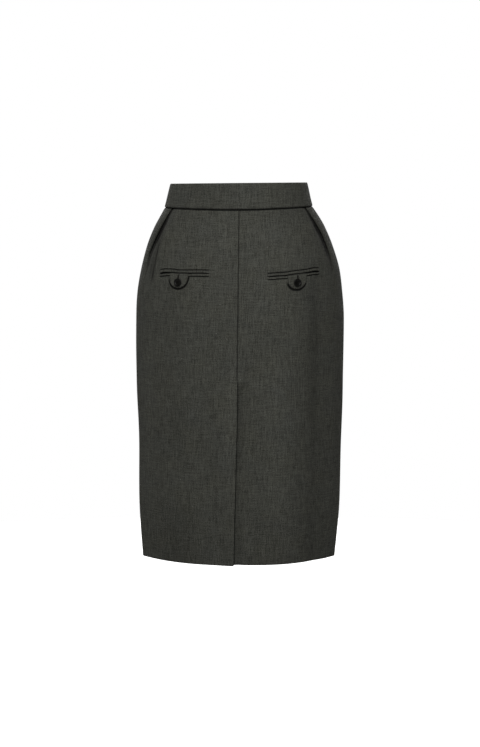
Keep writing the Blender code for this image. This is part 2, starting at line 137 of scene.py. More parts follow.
# Rounds the sections a little, so that the sides have no sharp corner.
def softened(grid):
    spread = net["soften"] / net["aroundStep"]
    reach = int(4 * spread)
    weights = np.exp(-0.5 * (np.arange(-reach, reach + 1) / spread) ** 2)
    padded = np.pad(grid, ((0, 0), (reach, reach)), "reflect", reflect_type="odd")
    return np.array([np.convolve(row, weights / weights.sum(), "valid") for row in padded])


def makeNet():
    drops = np.arange(0, skirt["hemDrop"] + 2 * net["dropStep"], net["dropStep"])
    arounds = np.arange(-net["reach"], net["reach"] + net["aroundStep"] / 2, net["aroundStep"])
    rows = alongTable(rings, drops)
    run = np.sin(np.linspace(0, math.pi / 2, net["ringSteps"]))
    xs, ys, sides, wholes = [], [], {left: [], right: []}, {left: [], right: []}
    for index in range(len(drops)):
        rise = np.maximum(1 - run ** rows.power[index], 0) ** rows.flatness[index]
        halves = {}
        for side, half in ((left, rows.left[index]), (right, rows.right[index])):
            x = side * half * np.concatenate([run, run[-2::-1]])
            y = np.concatenate([-rows.back[index] * rise, rows.front[index] * rise[-2::-1]])
            along = np.concatenate([[0], np.cumsum(np.hypot(np.diff(x), np.diff(y)))])
            halves[side] = (side * along, x, y)
            sides[side].append(along[net["ringSteps"] - 1])
            wholes[side].append(along[-1])
        around = np.concatenate([halves[left][0][:0:-1], halves[right][0]])
        x = np.concatenate([halves[left][1][:0:-1], halves[right][1]])
        y = np.concatenate([halves[left][2][:0:-1], halves[right][2]])
        xs.append(np.interp(arounds, around, x))
        ys.append(np.interp(arounds, around, y))
    x, y = (softened(np.array(grid)) for grid in (xs, ys))
    stepX, stepY = np.gradient(x, axis=1), np.gradient(y, axis=1)
    size = np.maximum(np.hypot(stepX, stepY), tiny)
    net.update(drops=drops, x=x, y=y, outX=stepY / size, outY=-stepX / size, sides=sides, wholes=wholes)


makeNet()


def fromNet(grid, around, drop):
    inside = 1.001  # keeps the next column and row on the net
    column = np.clip((around + net["reach"]) / net["aroundStep"], 0, grid.shape[1] - inside)
    row = np.clip(drop / net["dropStep"], 0, grid.shape[0] - inside)
    c, r = column.astype(int), row.astype(int)
    s, t = column - c, row - r
    upper = grid[r, c] * (1 - s) + grid[r, c + 1] * s
    lower = grid[r + 1, c] * (1 - s) + grid[r + 1, c + 1] * s
    return upper * (1 - t) + lower * t


# Points in space from places on the cloth; the three are arrays of one shape.
def onCloth(around, drop, out):
    around, drop, out = np.broadcast_arrays(np.asarray(around, float), drop, out)
    loft, loftEnd = skirt["fullness"]
    out = out + loft * falling(drop, 0, loftEnd)
    across = fromNet(net["outX"], around, drop), fromNet(net["outY"], around, drop)
    size = np.maximum(np.hypot(*across), tiny)
    x = fromNet(net["x"], around, drop) + across[0] / size * out
    y = fromNet(net["y"], around, drop) + across[1] / size * out
    tilt = skirt["waistTilt"] * x * falling(drop, 0, skirt["tiltEnds"])
    return np.stack([x, y, skirt["bandTop"] - drop + tilt], axis=-1)


def spot(around, drop, out=0.0):
    return Vector(onCloth(np.array([around]), drop, out)[0])


# A matrix on the cloth: X along it towards +X, Y into it and Z up its slope.
def seat(around, drop, out):
    step = 0.004  # how far to each side the cloth is felt for its lean
    across = (spot(around + step, drop, out) - spot(around - step, drop, out)).normalized()
    up = spot(around, drop - step, out) - spot(around, drop + step, out)
    up = (up - across * up.dot(across)).normalized()
    turn = Matrix((across, up.cross(across), up)).transposed().to_4x4()
    return Matrix.Translation(spot(around, drop, out)) @ turn


def sideLength(side, drop):
    return np.interp(drop, net["drops"], net["sides"][side])


def wholeLength(side, drop):
    return np.interp(drop, net["drops"], net["wholes"][side])


def sideSeam(side, drop):
    return sideLength(side, drop) + skirt["seamForward"]


def sideGap(side, drop):
    if side == right:
        return skirt["seamGap"] + 0 * drop
    closed = rising(drop, skirt["zipGapFrom"], skirt["zipGapFade"])
    return mixed(skirt["zipGap"], skirt["seamGap"], closed)


def centreSeam(drop):
    return skirt["centreShift"] + skirt["centreDrift"] * drop


# How far the waist seam dips below its depth at the sides.
def bandDipAt(side, along):
    turn = math.pi / 2 * np.minimum(np.abs(along) / sideLength(side, skirt["bandDepth"]), 2)
    return skirt["bandDip"] * np.cos(turn) ** 2


def panelDrop(side, along, drop):
    return drop + bandDipAt(side, along) * falling(drop, skirt["bandDepth"], skirt["dipFade"])


print("shape laid out")


# Gives a socket a link from another socket, a colour or a number.
def feed(tree, socket, value):
    if isinstance(value, bpy.types.NodeSocket):
        tree.links.new(value, socket)
    elif socket.type == "RGBA":
        socket.default_value = (*value, 1.0)
    else:
        socket.default_value = value


# Feeds a node's sockets by name, with underscores for the spaces in a name.
def feedNamed(tree, node, values):
    for name, value in values.items():
        feed(tree, node.inputs[name.replace("_", " ")], value)
    return node


def addNode(tree, kind, **values):
    return feedNamed(tree, tree.nodes.new(kind), values)


def mathNode(tree, operation, *values):
    node = addNode(tree, "ShaderNodeMath")
    node.operation = operation
    for socket, value in zip(node.inputs, values):
        feed(tree, socket, value)
    return node.outputs["Value"]


# The sum of two values, each by its share.
def sumOf(tree, first, firstShare, second, secondShare):
    firstPart = mathNode(tree, "MULTIPLY", first, firstShare)
    secondPart = mathNode(tree, "MULTIPLY", second, secondShare)
    return mathNode(tree, "ADD", firstPart, secondPart)


def noiseNode(tree, vector, detail, roughness=0.55, distortion=0.0):
    node = addNode(
        tree, "ShaderNodeTexNoise", Scale=1.0, Detail=detail, Roughness=roughness,
        Distortion=distortion, Vector=vector,
    )
    return node.outputs["Fac"]


def scaled(tree, vector, factor):
    node = addNode(tree, "ShaderNodeVectorMath")
    node.operation = "SCALE"
    return feedNamed(tree, node, {"Vector": vector, "Scale": factor}).outputs["Vector"]


# The piece's own axes, each stretched by a number of turns a metre.
def stretched(tree, where, scales):
    return addNode(tree, "ShaderNodeMapping", Scale=scales, Vector=where).outputs["Vector"]


def joined(tree, x, y, z):
    return addNode(tree, "ShaderNodeCombineXYZ", X=x, Y=y, Z=z).outputs["Vector"]


def colourMix(tree, mask, first, second, kind="MIX"):
    node = addNode(tree, "ShaderNodeMix")
    node.data_type, node.blend_type = "RGBA", kind
    for number, value in ((0, mask), (6, first), (7, second)):  # the factor and the two colours
        feed(tree, node.inputs[number], value)
    return node.outputs[2]


def ranged(tree, value, low, high, newLow, newHigh):
    node = addNode(
        tree, "ShaderNodeMapRange", From_Min=low, From_Max=high, To_Min=newLow, To_Max=newHigh, Value=value
    )
    return node.outputs["Result"]


noiseSpan = (0.3, 0.7)  # nearly all of a noise lies between these


def darker(colour, share):
    return tuple(share * value for value in colour)


# A node group of this name with its sockets, and the nodes that stand for them inside it.
def newGroup(name, inputs, outputs):
    group = bpy.data.node_groups.new(name, "ShaderNodeTree")
    for label, kind, value in inputs:
        socket = group.interface.new_socket(name=label, in_out="INPUT", socket_type=kind)
        if value is not None:
            socket.default_value = value
    for label in outputs:
        group.interface.new_socket(name=label, in_out="OUTPUT", socket_type="NodeSocketFloat")
    return group, group.nodes.new("NodeGroupInput").outputs, group.nodes.new("NodeGroupOutput").inputs


# Long thin streaks of lighter and darker yarn, running both ways of the weave.
def makeYarnStreaks():
    inputs = (
        ("Cloth", "NodeSocketVector", None),
        ("Yarn Width", "NodeSocketFloat", 0.001),
        ("Slub Length", "NodeSocketFloat", 0.02),
        ("Shift", "NodeSocketFloat", 0.0),
    )
    group, given, result = newGroup("yarn streaks", inputs, ("Warp", "Weft"))
    parts = addNode(group, "ShaderNodeSeparateXYZ", Vector=given["Cloth"])
    x, y = parts.outputs["X"], parts.outputs["Y"]
    width, length, shift = given["Yarn Width"], given["Slub Length"], given["Shift"]
    warp = joined(group, mathNode(group, "DIVIDE", x, width), mathNode(group, "DIVIDE", y, length), shift)
    weft = joined(group, mathNode(group, "DIVIDE", x, length), mathNode(group, "DIVIDE", y, width), shift)
    feed(group, result["Warp"], noiseNode(group, warp, 2.0))
    feed(group, result["Weft"], noiseNode(group, weft, 2.0))
    return group


# A plain weave: yarns that pass over and under each other, as a mask of what is on top and a height.
def makePlainWeave():
    inputs = (("Cloth", "NodeSocketVector", None), ("Pitch", "NodeSocketFloat", 0.0007))
    group, given, result = newGroup("plain weave", inputs, ("Warp On Top", "Height"))
    parts = addNode(group, "ShaderNodeSeparateXYZ", Vector=given["Cloth"])
    waves = []
    for axis in ("X", "Y"):
        turns = mathNode(group, "DIVIDE", parts.outputs[axis], given["Pitch"])
        waves.append(mathNode(group, "SINE", mathNode(group, "MULTIPLY", turns, math.pi)))
    crossing = mathNode(group, "MULTIPLY", *waves)
    top = ranged(group, crossing, -0.5, 0.5, 0.0, 1.0)
    humps = [mathNode(group, "ABSOLUTE", wave) for wave in waves]
    under = mathNode(group, "MULTIPLY", humps[1], mathNode(group, "SUBTRACT", 1.0, top))
    over = mathNode(group, "MULTIPLY", humps[0], top)
    feed(group, result["Warp On Top"], top)
    feed(group, result["Height"], mathNode(group, "ADD", over, under))
    return group


yarnStreaks = makeYarnStreaks()
plainWeave = makePlainWeave()


def placed(tree, group, **values):
    node = addNode(tree, "ShaderNodeGroup")
    node.node_tree = group
    return feedNamed(tree, node, values)


def newMaterial(name, **settings):
    material = bpy.data.materials.new(name)
    material.use_nodes = True
    tree = material.node_tree
    return material, tree, feedNamed(tree, tree.nodes["Principled BSDF"], settings)


# The cloth's own measure in metres: across the piece and down it.
def clothPlace(tree):
    node = tree.nodes.new("ShaderNodeUVMap")
    node.uv_map = "grain"
    return node.outputs["UV"]


def addBump(tree, shader, height, distance):
    bump = addNode(tree, "ShaderNodeBump", Distance=distance, Height=height)
    feed(tree, shader.inputs["Normal"], bump.outputs["Normal"])


wool = {
    "darkYarn": (0.0292, 0.0294, 0.0247),
    "lightYarn": (0.0796, 0.0806, 0.0686),
    "yarnPitch": 0.00062,
    "fleckWidth": 0.0014,
    "fleckLength": 0.0024,
    "fleckShare": 0.52,  # of the yarn's tone; the rest is the slubs'
    "topShare": (0.35, 0.85),  # the warp's share of the flecks, beneath the weft and on top of it
    "slubWidth": 0.00125,
    "slubLength": 0.0200,
    "slubShift": 7.3,  # so that the slubs don't follow the flecks
    "warpShare": 0.58,  # of the slubs' tone; the rest is the weft's
    "grainSize": 0.020,  # patches where the slubs show more or less
    "grainRange": (0.36, 0.64),
    "grainSpan": (0.059, 0.095),  # a narrow span of tones shows them more
    "patchSize": 0.060,  # broad uneven patches, barely there
    "patchRange": noiseSpan,
    "coolPatch": (0.97, 0.98, 1.01),
    "warmPatch": (1.025, 1.02, 0.995),
    "nep": (0.130, 0.130, 0.118),  # stray light fibres caught in the yarn
    "nepScale": 150.0,
    "nepEdge": (0.10, 0.16),
    "nepsFrom": 0.98,  # this share of the fibres stays hidden
    "roughness": (0.96, 0.82),  # of dark and of light yarn
    "weaveHeight": 0.00012,
    "toneHeight": 0.8,  # light yarns stand up by this share of the weave
    # how much the painted shade darkens the colour where it is full
    "seamShade": 0.94,
    "palest": -0.3,  # the least painted shade there is: below zero it is a painted highlight on the ridges
}


def makeWool():
    material, tree, shader = newMaterial(
        "charcoal wool", Sheen_Weight=0.05, Sheen_Roughness=0.45, Specular_IOR_Level=0.08,
        Sheen_Tint=(0.75, 0.75, 0.70),
    )
    cloth = clothPlace(tree)
    weave = placed(tree, plainWeave, Cloth=cloth, Pitch=wool["yarnPitch"])
    fleck = placed(
        tree, yarnStreaks, Cloth=cloth, Yarn_Width=wool["fleckWidth"], Slub_Length=wool["fleckLength"]
    )
    slub = placed(
        tree, yarnStreaks, Cloth=cloth, Shift=wool["slubShift"],
        Yarn_Width=wool["slubWidth"], Slub_Length=wool["slubLength"],
    )
    # flecks show where their yarn lies on top, slubs through the whole cloth
    onTop = ranged(tree, weave.outputs["Warp On Top"], 0.0, 1.0, *wool["topShare"])
    beneath = mathNode(tree, "SUBTRACT", 1.0, onTop)
    flecks = sumOf(tree, fleck.outputs["Warp"], onTop, fleck.outputs["Weft"], beneath)
    slubs = sumOf(
        tree, slub.outputs["Warp"], wool["warpShare"], slub.outputs["Weft"], 1 - wool["warpShare"]
    )
    tone = sumOf(tree, flecks, wool["fleckShare"], slubs, 1 - wool["fleckShare"])
    clearness = noiseNode(tree, scaled(tree, cloth, 1 / wool["grainSize"]), 2.0)
    span = ranged(tree, clearness, *wool["grainRange"], *wool["grainSpan"])
    low = mathNode(tree, "SUBTRACT", 0.5, span)
    high = mathNode(tree, "ADD", 0.5, span)
    tone = ranged(tree, tone, low, high, 0.0, 1.0)
    colour = colourMix(tree, tone, wool["darkYarn"], wool["lightYarn"])
    patches = noiseNode(tree, scaled(tree, cloth, 1 / wool["patchSize"]), 3.0)
    warmth = ranged(tree, patches, *wool["patchRange"], 0.0, 1.0)
    tint = colourMix(tree, warmth, wool["coolPatch"], wool["warmPatch"])
    colour = colourMix(tree, 1.0, colour, tint, "MULTIPLY")
    dots = addNode(tree, "ShaderNodeTexVoronoi", Scale=wool["nepScale"], Vector=cloth)
    near = ranged(tree, dots.outputs["Distance"], *wool["nepEdge"], 1.0, 0.0)
    chance = addNode(tree, "ShaderNodeSeparateColor", Color=dots.outputs["Color"])
    rare = mathNode(tree, "GREATER_THAN", chance.outputs["Red"], wool["nepsFrom"])
    colour = colourMix(tree, mathNode(tree, "MULTIPLY", near, rare), colour, wool["nep"])
    # painted shade: a mesh attribute darkens the colour in seams, folds, creases, round the pockets and
    # tabs, and below zero it paints a highlight that makes ridges paler
    paintedShading = addNode(tree, "ShaderNodeAttribute")
    paintedShading.attribute_name = "paintedShading"
    palest, deep = wool["palest"], wool["seamShade"]
    shade = ranged(tree, paintedShading.outputs["Fac"], palest, 1.0, 1.0 - palest * deep, 1.0 - deep)
    grey = addNode(tree, "ShaderNodeCombineColor", Red=shade, Green=shade, Blue=shade)
    colour = colourMix(tree, 1.0, colour, grey.outputs["Color"], "MULTIPLY")
    roughness = ranged(tree, tone, 0.0, 1.0, *wool["roughness"])
    feedNamed(tree, shader, {"Base Color": colour, "Roughness": roughness})
    raised = mathNode(tree, "MULTIPLY", tone, wool["toneHeight"])
    addBump(tree, shader, mathNode(tree, "ADD", weave.outputs["Height"], raised), wool["weaveHeight"])
    return material


woolCloth = makeWool()
print("wool ready")


def addObject(data):
    made = bpy.data.objects.new(data.name, data)
    bpy.context.scene.collection.objects.link(made)
    return made


def newMesh(name, points, faces, material):
    mesh = bpy.data.meshes.new(name)
    mesh.from_pydata(points, [], faces)
    mesh.materials.append(material)
    return mesh


# Goes with the skirt or with the zip pull.
def follow(piece, body="skirt"):
    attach(piece, body)
    return piece


# Stands for a solid of the frame as well.
def dress(piece, node, body="skirt"):
    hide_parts(node)
    return follow(piece, body)


shell = {
    "rimSteps": 2,  # round each edge of the cloth
    "innerShade": 0.6,  # how much of the painted shade the inner face has
    "weld": 0.000001,
}


# points is a net of rows by columns over the outer face, rows going down and columns towards the
# wearer's right. thickness may change over it. The edges are rounded.
def clothShell(name, points, thickness, grain, material, paintedShading=None, rimSteps=shell["rimSteps"]):
    rows, columns = points.shape[:2]
    normal = unit(np.cross(np.gradient(points, axis=0), np.gradient(points, axis=1)))
    thickness = np.broadcast_to(thickness, (rows, columns))
    inner = points - normal * thickness[..., None]
    index = np.arange(rows * columns).reshape(rows, columns)

    def quads(*corners):
        return np.stack([corner.ravel() for corner in corners], axis=1)

    outerFaces = quads(index[:-1, :-1], index[1:, :-1], index[1:, 1:], index[:-1, 1:])
    innerFaces = quads(index[:-1, :-1], index[:-1, 1:], index[1:, 1:], index[1:, :-1]) + rows * columns
    edge = (
        [(0, c) for c in range(columns)]
        + [(r, columns - 1) for r in range(1, rows)]
        + [(rows - 1, c) for c in range(columns - 2, -1, -1)]
        + [(r, 0) for r in range(rows - 2, 0, -1)]
    )
    rim = tuple(np.array(edge).T)
    away = unit(np.cross(normal[rim], np.roll(points[rim], -1, axis=0) - np.roll(points[rim], 1, axis=0)))
    half = thickness[rim][:, None] / 2
    middle = points[rim] - normal[rim] * half
    loops, rimPoints = [index[rim]], []
    for step in range(1, rimSteps + 1):
        turn = math.pi * step / (rimSteps + 1)
        rimPoints.append(middle + away * half * math.sin(turn) + normal[rim] * half * math.cos(turn))
        loops.append(2 * rows * columns + (step - 1) * len(edge) + np.arange(len(edge)))
    loops.append(index[rim] + rows * columns)
    rimFaces = [
        quads(near, np.roll(near, -1), np.roll(far, -1), far) for near, far in zip(loops, loops[1:])
    ]
    allPoints = np.concatenate([points.reshape(-1, 3), inner.reshape(-1, 3), *rimPoints])
    faces = np.concatenate([outerFaces, innerFaces, *rimFaces])
    mesh = newMesh(name, allPoints.tolist(), faces.tolist(), material)
    mesh.shade_smooth()
    flat = np.asarray(grain).reshape(-1, 2)
    flat = np.concatenate([flat, flat, *[flat[index[rim]]] * rimSteps])
    layer = mesh.uv_layers.new(name="grain")
    layer.data.foreach_set("uv", flat[faces.ravel()].astype(np.float32).ravel())
    # painted shade, weaker on the inner face, kept on the mesh for the cloth's colour
    shade = np.zeros((rows, columns)) if paintedShading is None else paintedShading
    shade = np.concatenate([shade.ravel(), shell["innerShade"] * shade.ravel(), *[shade[rim]] * rimSteps])
    mesh.attributes.new("paintedShading", "FLOAT", "POINT").data.foreach_set("value", shade.astype(np.float32))
    work = bmesh.new()
    work.from_mesh(mesh)
    bmesh.ops.remove_doubles(work, verts=work.verts, dist=shell["weld"])
    work.to_mesh(mesh)
    work.free()
    return addObject(mesh)


# Distances from an edge, close together there and then even: for rolled edges.
edgeSteps = (0.0, 0.0005, 0.0011, 0.0019, 0.0030, 0.0045)
# the panels' tops are sewn in between the two layers of the waistband
tuck = {"rows": (-0.0044, -0.0030, -0.0016, -0.0007), "cloth": 0.0007, "press": 0.20, "deeper": 0.0006}


def rolled(distance, depth, width):
    return -depth * np.clip(1 - distance / width, 0.0, 1.0) ** 2


# Numbers from low to high about a step apart, closer together within the given zones.
def spaced(low, high, step, zones=(), fineStep=0.0008):
    def even(start, end, gap):
        return list(np.linspace(start, end, max(int(round((end - start) / gap)), 1) + 1))

    values = even(low, high, step)
    for start, end in zones:
        values = [v for v in values if v < start - fineStep or v > end + fineStep]
        values += even(start, end, fineStep)
    return np.array(sorted(values))


# The drops of a panel's rows, from those tucked into the waistband down to the hem.
def panelDrops(step, zones=()):
    top, low = skirt["panelTop"], skirt["hemDrop"] - skirt["hemEdge"]
    tucked = [top + drop for drop in (*tuck["rows"], *edgeSteps[:-1])]
    return np.concatenate([tucked, spaced(top + edgeSteps[-1], low, step, zones)])


def grainOf(across, down):
    return np.stack(np.broadcast_arrays(across, down), axis=2)


# Nets of the left side are turned round, because their columns run away from the centre back.
def rightward(side, *nets):
    return nets if side == right else [values[:, ::-1] for values in nets]


# Two sets of nets that begin at the same middle column, as one set from end to end.
def bothHalves(first, second):
    return [np.concatenate([a[:, ::-1], b[:, 1:]], axis=1) for a, b in zip(first, second)]


# Painted shade, deepest at an edge and gone a width away.
def edgeShade(distance, deep, width):
    return deep * falling(distance, 0, width)


# The darkest of several painted shades, over the painted shade and highlight of the broad creases.
def shaded(shades, broad):
    paintedShading = np.maximum.reduce(np.broadcast_arrays(*shades))
    return paintedShading + (1 - paintedShading) * broad


# The arc length of each row, measured from its column nearest to zero: for the cloth's grain.
def rowLengths(points, zeroColumn):
    lengths = np.linalg.norm(np.diff(points, axis=1), axis=2)
    total = np.concatenate([np.zeros((len(points), 1)), np.cumsum(lengths, axis=1)], axis=1)
    return total - total[:, zeroColumn][:, None]


# Soft troughs and ridges, each along a line on the cloth with a bow to one side. A trough gets some painted
# shade, and a ridge, with less than none, a painted highlight that makes it a little paler; a crease with
# no depth is painted shade or highlight alone.
crease = namedtuple("crease", "around0 drop0 around1 drop1 width depth bow shade fade", defaults=[0.0, 0.3])
creases = (
    # the back, left of the centre seam
    crease(-0.1638, 0.086, -0.1890, 0.196, 0.0026, -0.0018, 0.0016, 0.90, 0.08),
    crease(-0.1720, 0.088, -0.1950, 0.192, 0.0075, -0.0010, 0.0010, 0.36, 0.15),
    crease(-0.060, -0.080, -0.060, 0.085, 0.0600, 0.0, 0.0, 0.13),
    crease(-0.122, 0.395, -0.112, 0.530, 0.0200, -0.0012, -0.004, 0.12),
    crease(-0.138, 0.150, -0.136, 0.400, 0.0200, -0.0010, 0.004, 0.07),
    crease(-0.125, 0.560, -0.120, 0.830, 0.0420, -0.0010, 0.0, 0.14),
    crease(-0.200, 0.260, -0.198, 0.640, 0.0120, 0.0010, 0.003, -0.10),
    crease(-0.016, 0.290, -0.024, 0.570, 0.0130, 0.0016, 0.002, -0.12),
    crease(-0.026, 0.020, -0.024, 0.150, 0.0150, 0.0008, 0.002, -0.10),
    crease(-0.070, 0.300, -0.062, 0.800, 0.0260, -0.0016, 0.005, 0.02),
    crease(-0.095, 0.115, -0.060, 0.070, 0.0140, -0.0006, 0.004),
    crease(-0.0500, 0.166, -0.0440, 0.198, 0.0016, 0.0004, 0.0, -0.22, 0.2),
    crease(-0.0570, 0.176, -0.0500, 0.196, 0.0014, 0.0003, 0.0, -0.18, 0.2),
    crease(-0.0860, 0.1765, -0.0540, 0.1775, 0.0014, 0.0004, 0.0, -0.22, 0.2),
    # the back, right of the centre seam
    crease(0.172, 0.080, 0.192, 0.160, 0.0070, 0.0009, -0.001),
    crease(0.152, 0.140, 0.150, 0.520, 0.0150, -0.0034, 0.004, 0.15, 0.15),
    crease(0.150, 0.440, 0.152, 0.800, 0.0140, -0.0020, 0.002, 0.05),
    crease(0.192, 0.240, 0.194, 0.760, 0.0130, 0.0014, 0.003),
    crease(0.160, 0.180, 0.162, 0.900, 0.0300, 0.0, 0.0, 0.10, 0.12),
    crease(0.104, 0.110, 0.098, 0.800, 0.0270, 0.0038, -0.003, -0.02),
    crease(0.062, 0.290, 0.064, 0.680, 0.0240, 0.0010, 0.003, -0.12, 0.20),
    crease(0.050, 0.030, 0.052, 0.290, 0.0300, 0.0010, 0.0, -0.10),
    crease(0.110, 0.120, 0.075, 0.075, 0.0150, -0.0006, -0.004),
    crease(0.020, 0.395, 0.014, 0.620, 0.0085, -0.0012, 0.002),
    # the hem, all the way round: painted shade alone, darker towards the bottom
    crease(-0.620, 0.715, 0.860, 0.715, 0.0900, 0.0, 0.0, 0.13, 0.1),
    crease(-0.620, 0.540, 0.860, 0.540, 0.1700, 0.0, 0.0, 0.055, 0.1),
    # the front
    crease(-0.300, 0.210, -0.310, 0.600, 0.0190, -0.0020, 0.006, 0.08),
    crease(-0.345, 0.330, -0.338, 0.690, 0.0220, 0.0016, -0.005, -0.05),
    crease(0.310, 0.250, 0.296, 0.640, 0.0180, -0.0022, -0.005, 0.08),
    crease(0.350, 0.180, 0.342, 0.430, 0.0160, 0.0012, 0.004, -0.05),
    crease(0.262, 0.160, 0.270, 0.520, 0.0150, 0.0014, 0.005, -0.05),
    crease(-0.262, 0.150, -0.258, 0.480, 0.0150, 0.0016, -0.004, -0.05),
    crease(-0.390, 0.480, -0.372, 0.800, 0.0240, -0.0016, 0.004, 0.06),
    crease(0.392, 0.420, 0.380, 0.800, 0.0260, -0.0016, -0.004, 0.06),
)
creaseEnd = 0.3  # of a crease's length, over which it runs out
sharpWidth = 0.0100  # creases narrower than this are sharp
unevenness = {
    "height": 0.0011,
    "width": 0.060,
    "length": 0.190,
    "small": 0.35,  # the height and the scale of smaller waves, beside the large ones
    "smallScale": 2.3,
    "places": (3.1, 9.7),  # in the noise, of the large and the small waves
}
creased = namedtuple("creased", "out sharp broad")


# How far the creases move the cloth out, and the painted shade and highlight in them: sharp ones and broad
# ones.
def creaseOut(around, drop):
    total, sharp, broad = (np.zeros(around.shape) for _ in range(3))
    for line in creases:
        runAround, runDrop = line.around1 - line.around0, line.drop1 - line.drop0
        length = math.hypot(runAround, runDrop)
        share = ((around - line.around0) * runAround + (drop - line.drop0) * runDrop) / length**2
        beside = ((around - line.around0) * runDrop - (drop - line.drop0) * runAround) / length
        beside = beside - line.bow * np.sin(math.pi * np.clip(share, 0, 1))
        ends = rising(share, 0, line.fade) * rising(1 - share, 0, creaseEnd)
        near = np.exp(-((beside / line.width) ** 2)) * ends
        total += line.depth * near
        if line.width < sharpWidth:
            sharp = np.maximum(sharp, line.shade * near)
        else:
            broad += line.shade * near
    return creased(total, sharp, broad)


def unevenOut(around, drop):
    total = np.zeros(around.shape)
    large, small = unevenness["places"]
    finer = unevenness["smallScale"]
    for place in np.ndindex(around.shape):
        a, d = around[place] / unevenness["width"], drop[place] / unevenness["length"]
        wave = noise.noise(Vector((a, d, large)))
        total[place] = wave + unevenness["small"] * noise.noise(Vector((finer * a, finer * d, small)))
    return total * unevenness["height"]


pleat = namedtuple("pleat", "drop middle turn depth")
pleats = (
    pleat(0.0432, 0.0165, 180, 0.0046),
    pleat(0.0600, 0.0150, 180, 0.0054),
    pleat(0.0800, 0.0120, 180, 0.0078),
    pleat(0.1000, 0.0085, 180, 0.0084),
    pleat(0.1180, 0.0045, 178, 0.0076),
    pleat(0.1330, 0.0015, 160, 0.0066),
    pleat(0.1470, 0.0005, 115, 0.0052),
    pleat(0.1630, 0.0005, 65, 0.0034),
    pleat(0.1830, 0.0005, 28, 0.0016),
    pleat(0.2050, 0.0005, 12, 0.0006),
    pleat(0.2400, 0.0005, 4, 0.0002),
    pleat(skirt["hemDrop"], 0.0005, 4, 0.0002),
)
# each pocket: its ends along the cloth, the drops of its upper edge, mouth and lower edge at both
# ends, and the middle of its tab
pocket = namedtuple("pocket", "inner outer topInner topOuter mouthInner mouthOuter lowInner lowOuter tab")
pockets = {
    left: pocket(0.0558, 0.1612, 0.1587, 0.1600, 0.1648, 0.1660, 0.1705, 0.1714, 0.1175),
    right: pocket(0.0505, 0.1598, 0.1660, 0.1571, 0.1720, 0.1636, 0.1776, 0.1689, 0.1094),
}
# from the side back to the folded edge; the painted shade in the fold: full width, then fading, and its
# depth
foldEdge = namedtuple("foldEdge", "drop left right full leftReach rightReach leftShade rightShade")
foldEdges = (
    foldEdge(0.0432, 0.0478, 0.0470, 0.0002, 0.0020, 0.0020, 0.70, 0.70),
    foldEdge(0.0600, 0.0452, 0.0478, 0.0004, 0.0036, 0.0036, 0.86, 0.88),
    foldEdge(0.0720, 0.0444, 0.0456, 0.0014, 0.0080, 0.0080, 0.96, 0.96),
    foldEdge(0.0870, 0.0431, 0.0428, 0.0022, 0.0092, 0.0110, 1.00, 1.00),
    foldEdge(0.1090, 0.0400, 0.0404, 0.0014, 0.0066, 0.0110, 0.94, 0.97),
    foldEdge(0.1250, 0.0374, 0.0404, 0.0006, 0.0058, 0.0100, 0.78, 0.85),
    foldEdge(0.1400, 0.0368, 0.0404, 0.0003, 0.0058, 0.0090, 0.58, 0.62),
    foldEdge(0.1640, 0.0384, 0.0414, 0.0002, 0.0070, 0.0080, 0.38, 0.40),
    foldEdge(0.1900, 0.0396, 0.0420, 0.0002, 0.0070, 0.0070, 0.14, 0.14),
    foldEdge(0.2150, 0.0400, 0.0420, 0.0002, 0.0060, 0.0060, 0.00, 0.00),
    foldEdge(skirt["hemDrop"], 0.0400, 0.0420, 0.0002, 0.0060, 0.0060, 0.00, 0.00),
)
